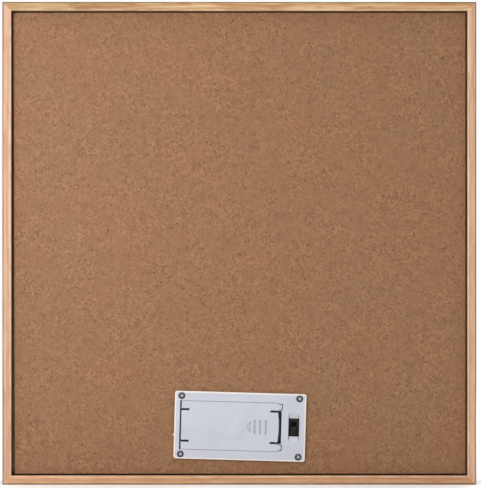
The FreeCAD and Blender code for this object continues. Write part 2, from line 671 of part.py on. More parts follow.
def make_contacts():
    """A bridge with one spring at the hinge end, and a flat and a spring contact at the switch end."""
    bridge = block((BRIDGE_X, CELL_BAY_RIGHT_X), CONTACT_Y, (-13.4, 13.4))
    bridge_tab = block((BRIDGE_X, TUB_RIGHT_X + TAB_REACH), TAB_Y, (-TAB_HALF_WIDTH, TAB_HALF_WIDTH))
    bridge_coil = spring(BRIDGE_X, LOWER_CELL_PLUS_X + CELL_NUB_LENGTH + CELL_LENGTH, -CELL_Z)
    keep("cell_bridge_contact", in_box(fuse(bridge, bridge_tab)), in_box(bridge_coil))

    def end_plate(z):
        plate = block((DIVIDER_X, DIVIDER_X + CONTACT_THICKNESS), CONTACT_Y, (z - 5.2, z + 5.2))
        across = (z - TAB_HALF_WIDTH, z + TAB_HALF_WIDTH)
        tab = block((SWITCH_BAY_RIGHT_X - TAB_REACH, DIVIDER_X + 0.1), TAB_Y, across)
        return fuse(plate, tab)

    bump_at = V(DIVIDER_X + CONTACT_THICKNESS, CELL_Y, -CELL_Z)
    plus_bump = Part.makeCylinder(2.4, PLUS_BUMP_HEIGHT, bump_at, V(1, 0, 0))
    keep("cell_plus_contact", in_box(fuse(end_plate(-CELL_Z), plus_bump)))
    minus_coil = spring(
        DIVIDER_X + CONTACT_THICKNESS, UPPER_CELL_PLUS_X - CELL_NUB_LENGTH - CELL_LENGTH, CELL_Z
    )
    keep("cell_minus_contact", in_box(end_plate(CELL_Z)), in_box(minus_coil))


def cell(plus_x, direction, z):
    """One cell: plus_x is where its terminal nub ends, and direction points from minus to plus."""
    along = V(direction, 0, 0)
    shoulder = plus_x - direction * CELL_NUB_LENGTH
    base = shoulder - direction * CELL_LENGTH
    can = Part.makeCylinder(CELL_RADIUS, CELL_LENGTH, V(base, CELL_Y, z), along)
    ends = [e for e in can.Edges if e.BoundBox.XLength < 1e-6]
    can = can.makeFillet(0.5, ends)
    nub = Part.makeCylinder(CELL_NUB_RADIUS, CELL_NUB_LENGTH, V(shoulder, CELL_Y, z), along)
    return fuse(can, nub)


def make_cells():
    keep("battery_cell_upper", in_box(cell(UPPER_CELL_PLUS_X, 1, CELL_Z)))
    keep("battery_cell_lower", in_box(cell(LOWER_CELL_PLUS_X, -1, -CELL_Z)))


def make_battery_door():
    """Door with two slits at each end, which free a hinge tongue with a toe, and a latch tongue."""
    y = (PLATE_BACK_Y - DOOR_THICKNESS, PLATE_BACK_Y)
    main, lugs = door_plan(0.0, 0.0, y)
    door = fuse(main, *lugs)
    bow = prism([(DOOR_LATCH_X + 1.0, -9.3), (DOOR_LATCH_X, -9.3), (DOOR_LATCH_X - TONGUE_BOW, -2.5),
                 (DOOR_LATCH_X - TONGUE_BOW, 2.5), (DOOR_LATCH_X, 9.3), (DOOR_LATCH_X + 1.0, 9.3)], y)
    latch_leg = block((DOOR_LATCH_X, DOOR_LATCH_X + 0.8), (-8.6, y[0] + 0.1), (-8.8, 8.8))
    nib_side = [(DOOR_LATCH_X, -5.4), (DOOR_LATCH_X - 1.4, -6.0), (DOOR_LATCH_X, -7.6)]
    nib_corners = [V(x, depth, -6.0) for x, depth in nib_side]
    nib = Part.Face(Part.makePolygon(nib_corners + nib_corners[:1])).extrude(V(0, 0, 12.0))
    hinge_leg = block((DOOR_HINGE_X - 1.1, DOOR_HINGE_X - 0.2), (-6.4, y[0] + 0.1), (-9.0, 9.0))
    hinge_toe = block((DOOR_HINGE_X - 0.3, DOOR_HINGE_X + 1.5), (-6.4, -5.4), (-9.0, 9.0))
    rolling_round = Part.makeCylinder(TOE_ROLL_RADIUS, 18.0, V(DOOR_AXIS_X, DOOR_AXIS_Y, -9.0), V(0, 0, 1))
    hinge_hook = fuse(hinge_leg, hinge_toe).common(rolling_round)
    door = fuse(door, bow, latch_leg, nib, hinge_hook)
    slits = []
    through = (y[0] - 1, y[1] + 1)
    for z in (-SLIT_Z, SLIT_Z):
        slit = (z - SLIT_WIDTH / 2, z + SLIT_WIDTH / 2)
        slits.append(block((DOOR_LATCH_X - 1, DOOR_LATCH_X + SLIT_LENGTH), through, slit))
        slits.append(block((DOOR_HINGE_X - SLIT_LENGTH, DOOR_HINGE_X + 1), through, slit))
    grip_y = (PLATE_BACK_Y - GRIP_DEPTH, PLATE_BACK_Y + 1)
    half_bar = GRIP_BAR_WIDTH / 2
    across = (-GRIP_BAR_HALF_HEIGHT, GRIP_BAR_HALF_HEIGHT)
    bars = [block((x - half_bar, x + half_bar), grip_y, across) for x in GRIP_BARS_X]
    arrow = prism([(GRIP_ARROW_TIP_X, 0.0), (GRIP_ARROW_BASE_X, GRIP_ARROW_HALF_HEIGHT),
                   (GRIP_ARROW_BASE_X, -GRIP_ARROW_HALF_HEIGHT)], grip_y)
    keep("battery_door", in_box(cut(door, *slits, *bars, arrow)))


def make_switch():
    """Slide switch: a steel case in the bay behind the window, a sliding knob, its wiper and three pins."""
    half_w, half_h = SWITCH_CASE_WIDTH / 2, SWITCH_CASE_HEIGHT / 2
    x, z = SWITCH_X, SWITCH_Z
    back = SWITCH_FACE_Y
    front = back - SWITCH_CASE_DEPTH
    wall = 0.5
    case = block((x - half_w, x + half_w), (front, back), (z - half_h, z + half_h))
    inner_w, inner_h = half_w - wall, half_h - wall
    hollow = block((x - inner_w, x + inner_w), (front + 1.0, back - wall), (z - inner_h, z + inner_h))
    slot = block(
        (x - SWITCH_SLOT_HALF_WIDTH, x + SWITCH_SLOT_HALF_WIDTH),
        (back - 1, back + 1),
        (z - SWITCH_SLOT_HALF_HEIGHT, z + SWITCH_SLOT_HALF_HEIGHT),
    )
    pins = [
        block((x - 0.5, x + 0.5), (SWITCH_PIN_END_Y, front + 1.4), (pin_z - 0.4, pin_z + 0.4))
        for pin_z in (z - SWITCH_PIN_PITCH, z, z + SWITCH_PIN_PITCH)
    ]
    keep("switch_case", in_box(cut(case, hollow, slot, *pins)))
    keep("switch_terminals", *[in_box(p) for p in pins])

    rest_z = z - SWITCH_TRAVEL / 2
    knob = rounded_block(
        (x - KNOB_HALF_WIDTH, x + KNOB_HALF_WIDTH),
        (back - 1.0, KNOB_TOP_Y),
        (rest_z - KNOB_HALF_HEIGHT, rest_z + KNOB_HALF_HEIGHT),
        0.3,
    )
    carriage = block((x - 2.9, x + 2.9), (back - 2.0, back - wall - 0.1), (rest_z - 2.3, rest_z + 2.3))
    ribs = [
        block((x - 2.0, x + 2.0), (KNOB_TOP_Y - 0.25, KNOB_TOP_Y + 1), (rest_z + r - 0.2, rest_z + r + 0.2))
        for r in (-1.2, 0.0, 1.2)
    ]
    keep("switch_slider", in_box(cut(fuse(knob, carriage), *ribs)))
    wiper = block((x - 1.2, x + 1.2), (back - 2.3, back - 2.0), (rest_z - 2.2, rest_z + 2.2))
    keep("switch_wiper", in_box(wiper))


# ---------------------------------------------------------------- movement
def pivot_hole(at, y):
    return disc(ARBOR_RADIUS + PIVOT_CLEARANCE, y, at[0], at[1])


COVER_INSIDE_Y = MOVEMENT_BACK_Y - 1.0
COIL_X = ROTOR_AT[0]


def make_movement_shells():
    """Base with the threaded bush, and the cover that closes it from the rear."""
    x = (MOVEMENT_LEFT_X, MOVEMENT_RIGHT_X)
    z = (MOVEMENT_BOTTOM_Z, MOVEMENT_TOP_Z)
    wall = MOVEMENT_WALL
    inner_x = (x[0] + wall, x[1] - wall)
    inner_z = (z[0] + wall, z[1] - wall)
    floor_y = MOVEMENT_FRONT_Y + wall
    base = rounded_block(x, (MOVEMENT_FRONT_Y, MOVEMENT_SPLIT_Y), z, MOVEMENT_CORNER)
    base = base.cut(rounded_block(inner_x, (floor_y, MOVEMENT_SPLIT_Y + 1), inner_z, 1.4))
    bush = disc(BUSH_RADIUS, (BUSH_END_Y, MOVEMENT_FRONT_Y + 0.1))
    post = disc(0.8, (floor_y - 0.1, MIDDLE_PLATE_Y[0]), *MOTION_AT)
    stands = [disc(1.3, (floor_y - 0.1, MIDDLE_PLATE_Y[0]), px, pz) for px, pz in middle_plate_posts()]
    base = fuse(base, bush, post, *stands)
    bore = disc(HOUR_PIPE_RADIUS + 0.05, (BUSH_END_Y - 1, floor_y + 1))
    keep("movement_base", cut(base, bore, *terminal_cutters()))

    cover = rounded_block(x, (MOVEMENT_SPLIT_Y, MOVEMENT_BACK_Y), z, MOVEMENT_CORNER)
    cover = cover.cut(rounded_block(inner_x, (MOVEMENT_SPLIT_Y - 1, COVER_INSIDE_Y), inner_z, 1.4))
    board_posts = [disc(1.0, (BOARD_Y[1], COVER_INSIDE_Y + 0.1), px, board_middle()) for px in (-11.5, 11.5)]
    cover = fuse(cover, *board_posts)
    sockets = [
        pivot_hole(at, (COVER_INSIDE_Y - 0.1, COVER_INSIDE_Y + PIVOT_DEPTH + 0.1))
        for at in ((0.0, 0.0), THIRD_AT, STEP_AT, ROTOR_AT)
    ]
    keep("movement_cover", cut(cover, *sockets, *terminal_cutters()))


def board_middle():
    return sum(BOARD_Z) / 2


def middle_plate_posts():
    return [(-17.0, -13.5), (17.0, -13.5), (-17.0, 14.0), (16.8, 13.0)]


def make_middle_plate():
    """Plate between the motion work and the going train. It carries the front pivots."""
    plate = rounded_block((-19.0, 19.0), MIDDLE_PLATE_Y, (-15.8, 17.5), 1.5)
    through = (MIDDLE_PLATE_Y[0] - 1, MIDDLE_PLATE_Y[1] + 1)
    centre_hole = disc(MINUTE_PIPE_RADIUS + 0.05, through)
    sockets = [pivot_hole(at, through) for at in (THIRD_AT, STEP_AT, ROTOR_AT)]
    keep("movement_middle_plate", cut(plate, centre_hole, *sockets))


def terminal_cutters():
    y = (BOARD_Y[0] - TERMINAL_THICKNESS, BOARD_Y[0])
    z = (MOVEMENT_BOTTOM_Z - 1, MOVEMENT_BOTTOM_Z + 3)
    return [block((x - 1.0, x + 1.0), y, z) for x in (-TERMINAL_X, TERMINAL_X)]


def make_electronics():
    z = BOARD_Z
    keep("circuit_board", block((-BOARD_HALF_LENGTH, BOARD_HALF_LENGTH), BOARD_Y, z))
    crystal = Part.makeCylinder(0.95, 6.2, V(3.0, BOARD_Y[1] + 0.95, board_middle()), V(1, 0, 0))
    keep("quartz_crystal", crystal)
    keep("circuit_chip", disc(2.1, (BOARD_Y[1], BOARD_Y[1] + 0.9), -4.0, board_middle()))
    tabs_y = (BOARD_Y[0] - TERMINAL_THICKNESS, BOARD_Y[0])
    tabs = [
        block((x - 1.0, x + 1.0), tabs_y, (TERMINAL_END_Z, BOARD_Z[0] + 2.5))
        for x in (-TERMINAL_X, TERMINAL_X)
    ]
    keep("movement_terminals", *tabs)


def make_motor():
    """Stepping motor: coil on its bobbin and core, stator legs, and the rotor's magnet."""
    middle_y = sum(STATOR_Y) / 2
    core_back = STATOR_Y[1] + COIL_CORE_THICKNESS
    core = block(
        (COIL_X - COIL_CORE_LENGTH / 2, COIL_X + COIL_CORE_LENGTH / 2),
        (STATOR_Y[1], core_back),
        (COIL_Z - COIL_CORE_HEIGHT / 2, COIL_Z + COIL_CORE_HEIGHT / 2),
    )
    keep("coil_core", core)
    core_y = (STATOR_Y[1] + core_back) / 2
    left = COIL_X - COIL_LENGTH / 2
    along = V(1, 0, 0)
    tube = Part.makeCylinder(2.4, COIL_LENGTH, V(left, core_y, COIL_Z), along)
    flanges = [
        Part.makeCylinder(COIL_FLANGE_RADIUS, COIL_FLANGE_WIDTH, V(fx, core_y, COIL_Z), along)
        for fx in (left, left + COIL_LENGTH - COIL_FLANGE_WIDTH)
    ]
    keep("coil_bobbin", cut(fuse(tube, *flanges), core))
    winding_length = COIL_LENGTH - 2 * COIL_FLANGE_WIDTH
    winding_at = V(left + COIL_FLANGE_WIDTH, core_y, COIL_Z)
    winding = Part.makeCylinder(COIL_RADIUS, winding_length, winding_at, along)
    keep("coil_winding", winding.cut(Part.makeCylinder(2.4, winding_length, winding_at, along)))

    rx, rz = ROTOR_AT
    hub = disc(STATOR_RING_RADIUS, STATOR_Y, rx, rz)
    legs = []
    for side in (-1, 1):
        outer = COIL_X + side * COIL_CORE_LENGTH / 2
        inner = outer - side * 4.0
        foot_top = COIL_Z + COIL_CORE_HEIGHT / 2
        legs.append(prism([(rx, rz - 2.2), (rx, rz + 2.2), (inner, COIL_Z - 4.8), (inner, foot_top),
                           (outer, foot_top), (outer, COIL_Z - 6.6)], STATOR_Y))
    stator = fuse(hub, *legs).cut(disc(STATOR_HOLE_RADIUS, (middle_y - 2, middle_y + 2), rx, rz))
    keep("stator_plate", stator)
    keep("rotor_magnet", ring(MAGNET_RADIUS, ARBOR_RADIUS, MAGNET_Y, rx, rz))


def arbor(at, front, rear):
    return disc(ARBOR_RADIUS, (front, rear), at[0], at[1])


def make_train():
    """The going train and the motion work. Every wheel is one moulding with its pinion and arbor."""
    front_pivot = MIDDLE_PLATE_Y[0] + 0.1
    rear_pivot = COVER_INSIDE_Y + PIVOT_DEPTH
    centre = (0.0, 0.0)

    rotor_tooth, step_tooth = mesh_angles(ROTOR_PINION_TEETH, STEP_WHEEL_TEETH, ROTOR_ANGLE + 180.0)
    rotor_pinion = gear(
        ROTOR_PINION_TEETH, STEP_MODULE, STEP_WHEEL_TEETH, ROTOR_PINION_Y, ROTOR_AT, rotor_tooth
    )
    rotor_arbor = arbor(ROTOR_AT, front_pivot, rear_pivot)
    keep("rotor_pinion", fuse(rotor_pinion, rotor_arbor))
    step_wheel = gear(STEP_WHEEL_TEETH, STEP_MODULE, ROTOR_PINION_TEETH, STEP_WHEEL_Y, STEP_AT, step_tooth)

    pinion_tooth, wheel_tooth = mesh_angles(STEP_PINION_TEETH, SECOND_WHEEL_TEETH, STEP_ANGLE + 180.0)
    step_pinion = gear(
        STEP_PINION_TEETH, STEP_MODULE, SECOND_WHEEL_TEETH, STEP_PINION_Y, STEP_AT, pinion_tooth
    )
    step_hub = disc(1.3, (STEP_PINION_Y[1], STEP_WHEEL_Y[1] + 0.4), *STEP_AT)
    keep("step_wheel", fuse(step_wheel, step_pinion, step_hub, arbor(STEP_AT, front_pivot, rear_pivot)))
    second_wheel = gear(
        SECOND_WHEEL_TEETH, STEP_MODULE, STEP_PINION_TEETH, SECOND_WHEEL_Y, centre, wheel_tooth
    )

    pinion_tooth, wheel_tooth = mesh_angles(SECOND_PINION_TEETH, THIRD_WHEEL_TEETH, THIRD_ANGLE)
    second_pinion = gear(
        SECOND_PINION_TEETH, SECOND_PINION_MODULE, THIRD_WHEEL_TEETH, SECOND_PINION_Y, centre, pinion_tooth
    )
    second_hub = disc(1.4, (SECOND_PINION_Y[1], SECOND_WHEEL_Y[1] + 0.6))
    second_bore = disc(ARBOR_RADIUS, (SECOND_PINION_Y[0] - 1, SECOND_WHEEL_Y[1] + 2))
    keep("second_wheel", cut(fuse(second_wheel, second_pinion, second_hub), second_bore))
    third_wheel = gear(
        THIRD_WHEEL_TEETH, SECOND_PINION_MODULE, SECOND_PINION_TEETH, THIRD_WHEEL_Y, THIRD_AT, wheel_tooth
    )

    pinion_tooth, wheel_tooth = mesh_angles(THIRD_PINION_TEETH, CENTRE_WHEEL_TEETH, THIRD_ANGLE + 180.0)
    third_pinion = gear(
        THIRD_PINION_TEETH, CENTRE_MODULE, CENTRE_WHEEL_TEETH, THIRD_PINION_Y, THIRD_AT, pinion_tooth
    )
    third_hub = disc(1.4, (THIRD_PINION_Y[1], THIRD_WHEEL_Y[1] + 0.4), *THIRD_AT)
    keep("third_wheel", fuse(third_wheel, third_pinion, third_hub, arbor(THIRD_AT, front_pivot, rear_pivot)))
    centre_wheel = gear(
        CENTRE_WHEEL_TEETH, CENTRE_MODULE, THIRD_PINION_TEETH, CENTRE_WHEEL_Y, centre, wheel_tooth
    )
    clutch_bore = disc(MINUTE_PIPE_RADIUS + PIVOT_CLEARANCE, (CENTRE_WHEEL_Y[0] - 1, CENTRE_WHEEL_Y[1] + 1))
    keep("centre_wheel", centre_wheel.cut(clutch_bore))

    pinion_tooth, wheel_tooth = mesh_angles(CANNON_TEETH, MOTION_WHEEL_TEETH, MOTION_ANGLE)
    cannon = gear(CANNON_TEETH, CANNON_MODULE, MOTION_WHEEL_TEETH, CANNON_Y, centre, pinion_tooth)
    pipe = disc(MINUTE_PIPE_RADIUS, (MINUTE_HAND_Y - 0.6, MINUTE_ARBOR_REAR_Y))
    clutch_flange = disc(2.3, (MIDDLE_PLATE_Y[1] + 0.15, CENTRE_WHEEL_Y[0] - 0.03))
    bore = disc(ARBOR_RADIUS + 0.05, (MINUTE_HAND_Y - 2, MINUTE_ARBOR_REAR_Y + 1))
    keep("minute_arbor", cut(fuse(cannon, pipe, clutch_flange), bore))
    motion_wheel = gear(
        MOTION_WHEEL_TEETH, CANNON_MODULE, CANNON_TEETH, MOTION_WHEEL_Y, MOTION_AT, wheel_tooth
    )

    pinion_tooth, wheel_tooth = mesh_angles(MOTION_PINION_TEETH, HOUR_WHEEL_TEETH, MOTION_ANGLE + 180.0)
    motion_pinion = gear(
        MOTION_PINION_TEETH, HOUR_MODULE, HOUR_WHEEL_TEETH, MOTION_PINION_Y, MOTION_AT, pinion_tooth
    )
    motion_bore = disc(0.8 + PIVOT_CLEARANCE, (MOTION_PINION_Y[0] - 1, MOTION_WHEEL_Y[1] + 1), *MOTION_AT)
    keep("motion_wheel", cut(fuse(motion_wheel, motion_pinion), motion_bore))
    hour_wheel = gear(
        HOUR_WHEEL_TEETH, HOUR_MODULE, MOTION_PINION_TEETH, HOUR_WHEEL_Y, centre, wheel_tooth
    )
    hour_pipe = disc(HOUR_PIPE_RADIUS, (HOUR_HAND_Y - 0.2, HOUR_WHEEL_Y[0] + 0.1))
    hour_bore = disc(MINUTE_PIPE_RADIUS + 0.05, (HOUR_HAND_Y - 2, HOUR_WHEEL_Y[1] + 1))
    keep("hour_wheel", cut(fuse(hour_wheel, hour_pipe), hour_bore))

    second_arbor = disc(ARBOR_RADIUS, (SECOND_HAND_Y - 0.3, rear_pivot))
    keep("second_arbor", second_arbor)


def make_movement_fixing():
    """Rubber washer behind the dial, and a brass washer and nut in front of it."""
    keep("movement_rubber_washer", ring(13.0, BUSH_RADIUS, (DIAL_BACK_Y, MOVEMENT_FRONT_Y)))
    washer_y = (DIAL_FRONT_Y - NUT_WASHER_HEIGHT, DIAL_FRONT_Y)
    keep("bush_washer", ring(NUT_WASHER_RADIUS, BUSH_RADIUS, washer_y))
    corner = NUT_AF / math.sqrt(3.0)
    nut_y = (washer_y[0] - NUT_HEIGHT, washer_y[0])
    nut = prism([polar(corner, 60.0 * n + 8.0) for n in range(6)], nut_y)
    nut = nut.common(Part.makeCone(corner - 0.5, corner + 3.0, 3.5, V(0, nut_y[0], 0), BACKWARDS))
    keep("bush_nut", nut.cut(disc(BUSH_RADIUS, (nut_y[0] - 1, nut_y[1] + 1))))


# ---------------------------------------------------------------- hands
def baton(length, tail, width, hub_radius, hub_bore, y):
    """A straight hand that tapers to a blunt point, with a round eye."""
    right_side = [(width / 2, -tail), (width / 2, length * 0.12), (width * 0.42, length - width),
                  (width * 0.35, length - width * 0.4)]
    left_side = [(-x, z) for x, z in reversed(right_side)]
    blade = prism(right_side + [(0.0, length)] + left_side, y)
    return cut(fuse(blade, disc(hub_radius, y)), disc(hub_bore, (y[0] - 1, y[1] + 1)))


def make_hands():
    hour_y = (HOUR_HAND_Y, HOUR_HAND_Y + HAND_THICKNESS)
    hour = baton(HOUR_HAND_LENGTH, HAND_TAIL, HOUR_HAND_WIDTH, 6.0, HOUR_PIPE_RADIUS, hour_y)
    keep("hour_hand", turned(hour, HOUR_HAND_TURN))
    minute_y = (MINUTE_HAND_Y, MINUTE_HAND_Y + HAND_THICKNESS)
    minute = baton(MINUTE_HAND_LENGTH, HAND_TAIL, MINUTE_HAND_WIDTH, 5.0, MINUTE_PIPE_RADIUS, minute_y)
    keep("minute_hand", turned(minute, MINUTE_HAND_TURN))
    nut_y = (MINUTE_HAND_Y - 1.2, MINUTE_HAND_Y)
    nut = prism([polar(2.9, 60.0 * n) for n in range(6)], nut_y)
    keep("minute_hand_nut", turned(minute_nut_bore(nut, nut_y), MINUTE_HAND_TURN))
    second_y = (SECOND_HAND_Y, SECOND_HAND_Y + 0.4)
    wide, narrow = SECOND_HAND_WIDTH / 2, SECOND_HAND_WIDTH * 0.3
    blade = prism([(-wide, -SECOND_HAND_TAIL), (wide, -SECOND_HAND_TAIL), (wide, 0.0),
                   (narrow, SECOND_HAND_LENGTH), (-narrow, SECOND_HAND_LENGTH), (-wide, 0.0)], second_y)
    weight = disc(3.4, second_y, 0.0, -SECOND_HAND_TAIL + 3.0)
    collar = disc(1.3, (SECOND_HAND_Y, SECOND_HAND_Y + 0.7))
    hand = cut(fuse(blade, disc(3.2, second_y), weight, collar), disc(ARBOR_RADIUS, (-40.0, -30.0)))
    keep("second_hand", turned(hand, SECOND_HAND_TURN))


def minute_nut_bore(nut, y):
    """The minute pipe ends inside the nut, and only the seconds arbor passes through its face."""
    pipe_part = disc(MINUTE_PIPE_RADIUS, (MINUTE_HAND_Y - 0.6, y[1] + 1))
    return cut(nut, pipe_part, disc(ARBOR_RADIUS + 0.3, (y[0] - 1, y[1])))


# ---------------------------------------------------------------- leads
TAB_FACE_Y = TAB_Y[0]
ON_DIAL_Y = DIAL_BACK_Y + LEAD_RADIUS + 0.1


def ring_end(side):
    """Where the outer (1) or inner (-1) ring wire ends beside the switch's bay."""
    x, z = dial_point(LAMP_CIRCLE_RADIUS + side * LAMP_LEG_PITCH / 2, RING_START_TURN)
    return x, RING_WIRE_Y, z


def make_movement_leads():
    """The movement takes one cell: plus from the lower cell's contact, minus from the bridge."""
    terminal_y = BOARD_Y[0] - TERMINAL_THICKNESS / 2
    plus = box_point(SWITCH_BAY_RIGHT_X - 1.2, TAB_FACE_Y, -CELL_Z)
    bridge = box_point(TUB_RIGHT_X + 1.2, TAB_FACE_Y, 0.0)
    routes = {
        "movement_lead_positive": [
            (-TERMINAL_X, terminal_y, TERMINAL_END_Z), (-TERMINAL_X, terminal_y, -27.0), (-8.0, -18.5, -36.0),
            (-10.0, ON_DIAL_Y, -46.0), (-15.0, ON_DIAL_Y, -59.0), (-22.5, ON_DIAL_Y, -72.0),
            (-30.0, ON_DIAL_Y, -86.0), (-34.6, ON_DIAL_Y, -99.0), (-35.0, ON_DIAL_Y, -110.0),
            (-33.2, -22.6, -118.5), (plus.x, -20.6, plus.z), tuple(plus),
        ],
        "movement_lead_negative": [
            (TERMINAL_X, terminal_y, TERMINAL_END_Z), (TERMINAL_X, terminal_y, -27.0), (8.5, -18.5, -36.0),
            (12.0, ON_DIAL_Y, -46.0), (19.0, ON_DIAL_Y, -59.0), (28.0, ON_DIAL_Y, -72.0),
            (36.0, ON_DIAL_Y, -85.0), (41.0, -22.6, -97.0), (43.6, -19.6, -107.5),
            (43.2, -19.1, -114.0), (bridge.x, -19.0, bridge.z), tuple(bridge),
        ],
    }
    for name, route in routes.items():
        keep(name, wire_solid(route, LEAD_RADIUS))


def make_lamp_leads():
    """The lamps take both cells, through the switch and a small resistor."""
    minus = box_point(SWITCH_BAY_RIGHT_X - 1.2, TAB_FACE_Y, CELL_Z)
    start = ring_end(-1)
    keep("lamp_lead_negative", wire_solid([
        start, (start[0] + 6.0, RING_WIRE_Y, start[2] + 1.7), (-34.0, -21.5, -109.2),
        (minus.x, -20.0, minus.z), tuple(minus)], RING_WIRE_RADIUS))

    pin = box_point(SWITCH_X, SWITCH_PIN_END_Y, SWITCH_Z)
    end = V(*ring_end(1))
    bend = V(-37.6, RING_WIRE_Y, end.z - 1.4)
    route = [tuple(pin), (pin.x, -18.2, pin.z), tuple(bend), tuple(end)]
    lead = wire_solid(route, RING_WIRE_RADIUS)
    keep("lamp_lead_positive", lead)
    along = (end - bend).normalize()
    body_start = end - along * (RESISTOR_LENGTH + 1.0)
    body = Part.makeCylinder(RESISTOR_RADIUS, RESISTOR_LENGTH, body_start, along)
    keep("lamp_resistor", body.cut(Part.makeCylinder(RING_WIRE_RADIUS, RESISTOR_LENGTH, body_start, along)))

    first_pin = box_point(SWITCH_X, SWITCH_PIN_END_Y, SWITCH_Z - SWITCH_PIN_PITCH)
    tab_end = box_point(SWITCH_BAY_RIGHT_X - TAB_REACH, TAB_MIDDLE_Y, -CELL_Z)
    keep("switch_link_wire", wire_solid([
        tuple(first_pin), tuple(box_point(SWITCH_X, TAB_MIDDLE_Y, SWITCH_Z - SWITCH_PIN_PITCH)),
        tuple(box_point(SWITCH_X, TAB_MIDDLE_Y, -CELL_Z)), tuple(tab_end)], LINK_WIRE_RADIUS))


def build():
    make_frame()
    make_battens()
    make_back_panel()
    make_dial_board()
    make_lamps()
    make_lamp_ring_wires()
    make_battery_tray()
    make_battery_door()
    make_box_screws()
    make_cells()
    make_contacts()
    make_switch()
    make_movement_shells()
    make_middle_plate()
    make_electronics()
    make_motor()
    make_train()
    make_movement_fixing()
    make_hands()
    make_movement_leads()
    make_lamp_leads()


build()
os.makedirs("parts", exist_ok=True)
for node, solid in NODES.items():
    solid.exportStep(f"parts/{node}.step")
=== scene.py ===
# %% [markdown]
# # A square wall clock, from its CAD frame to its finish
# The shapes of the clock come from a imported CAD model, and this lesson gives them their surfaces, their
# printed dial, their light and their camera. Blender could also model the whole clock, but the CAD frame
# already holds every size and every joint, so nothing here has to be fitted by eye. All lengths are in
# metres: +X is to the right as the dial is read, +Y goes from the dial to the wall, and +Z is up.

# %% load the frame
import bmesh
import bpy
import math
from mathutils import Matrix, Vector


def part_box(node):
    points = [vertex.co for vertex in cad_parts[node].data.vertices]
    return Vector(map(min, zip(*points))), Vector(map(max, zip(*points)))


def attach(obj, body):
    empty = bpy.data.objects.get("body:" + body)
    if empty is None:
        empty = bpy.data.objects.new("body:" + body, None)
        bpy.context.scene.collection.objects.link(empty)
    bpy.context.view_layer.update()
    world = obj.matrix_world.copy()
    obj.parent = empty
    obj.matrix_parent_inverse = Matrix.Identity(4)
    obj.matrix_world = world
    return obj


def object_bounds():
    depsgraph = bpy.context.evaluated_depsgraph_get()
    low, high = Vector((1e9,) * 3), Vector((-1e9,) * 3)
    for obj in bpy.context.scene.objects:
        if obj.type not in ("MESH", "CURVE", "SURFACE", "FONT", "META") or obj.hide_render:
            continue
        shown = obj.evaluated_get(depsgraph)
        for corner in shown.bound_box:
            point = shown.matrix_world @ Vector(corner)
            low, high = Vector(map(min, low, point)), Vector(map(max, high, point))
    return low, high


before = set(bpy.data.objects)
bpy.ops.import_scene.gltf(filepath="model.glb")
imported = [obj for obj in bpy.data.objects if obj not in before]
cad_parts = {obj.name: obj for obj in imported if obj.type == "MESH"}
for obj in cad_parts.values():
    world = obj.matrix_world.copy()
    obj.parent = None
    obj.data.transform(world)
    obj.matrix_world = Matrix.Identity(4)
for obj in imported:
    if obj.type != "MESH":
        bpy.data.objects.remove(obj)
cad_low, cad_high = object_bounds()
MM = 0.001
print("clock", [round(v / MM, 1) for v in cad_high - cad_low], "mm,", len(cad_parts), "pieces")

# %% [markdown]
# ## Small helpers for shader trees
# A shader tree is a graph: nodes, and links between their sockets. Each could be made in four or five lines
# every time, but a finish has dozens of nodes, so one helper puts a node down with its inputs already set,
# and short ones name the kinds that come up most. An input that is given a socket is linked, and any other
# value is written on the input itself.

# %% node helpers
def put(tree, kind, inputs=None, **settings):
    """One shader node, with settings as its properties and inputs by name or number."""
    made = tree.nodes.new("ShaderNode" + kind)
    for name, value in settings.items():
        setattr(made, name, value)
    for name, value in (inputs or {}).items():
        if isinstance(value, bpy.types.NodeSocket):
            tree.links.new(value, made.inputs[name])
        else:
            made.inputs[name].default_value = value
    return made


def calc(tree, operation, first, second=0.0, third=0.0, clamp=False):
    """The output of one Math node, as a step in a sum."""
    values = {0: first, 1: second, 2: third}
    return put(tree, "Math", values, operation=operation, use_clamp=clamp).outputs[0]


def times(tree, first, second):
    """Two values multiplied: a mask of two masks, or a weaker one."""
    return calc(tree, "MULTIPLY", first, second)


def stretch(tree, value, low, high, to_low=0.0, to_high=1.0):
    """Maps low..high to to_low..to_high, and holds it there."""
    limits = {"Value": value, "From Min": low, "From Max": high, "To Min": to_low, "To Max": to_high}
    return put(tree, "MapRange", limits).outputs[0]


def tint(tree, amount, first, second, how="MIX"):
    """First colour going over to the second by amount."""
    return put(tree, "Mix", {0: amount, 6: first, 7: second}, data_type="RGBA", blend_type=how).outputs[2]


def noise(tree, vector, scale, detail, roughness=0.5, distortion=0.0):
    """A cloudy value round 0.5. scale is how many clouds there are to a metre."""
    cloud = {"Vector": vector, "Scale": scale, "Detail": detail, "Roughness": roughness}
    return put(tree, "TexNoise", {**cloud, "Distortion": distortion}).outputs[0]


def mapped(tree, vector, scale=(1.0, 1.0, 1.0), turn=(0.0, 0.0, 0.0), shift=(0.0, 0.0, 0.0)):
    """Coordinates that are scaled, then turned, then shifted."""
    steps = {"Vector": vector, "Scale": scale, "Rotation": turn, "Location": shift}
    return put(tree, "Mapping", steps).outputs[0]


def unplaced(tree, vector, place, turn, scale=(1.0, 1.0, 1.0)):
    """Coordinates with a piece's own place, turn and scale undone."""
    settings = {"Vector": vector, "Location": place, "Rotation": turn, "Scale": scale}
    return put(tree, "Mapping", settings, vector_type="TEXTURE").outputs[0]


def axes(tree, vector):
    """The X, Y and Z of a vector."""
    return put(tree, "SeparateXYZ", {0: vector}).outputs


def normal(tree):
    """The X, Y and Z of the way the surface faces."""
    return axes(tree, put(tree, "NewGeometry").outputs["Normal"])


def filtered(tree, colour, by):
    """A colour multiplied by another, as by a filter."""
    return tint(tree, 1.0, colour, by, "MULTIPLY")


def lifted(tree, colour, by):
    """A colour with another added to it."""
    return tint(tree, 1.0, colour, by, "ADD")


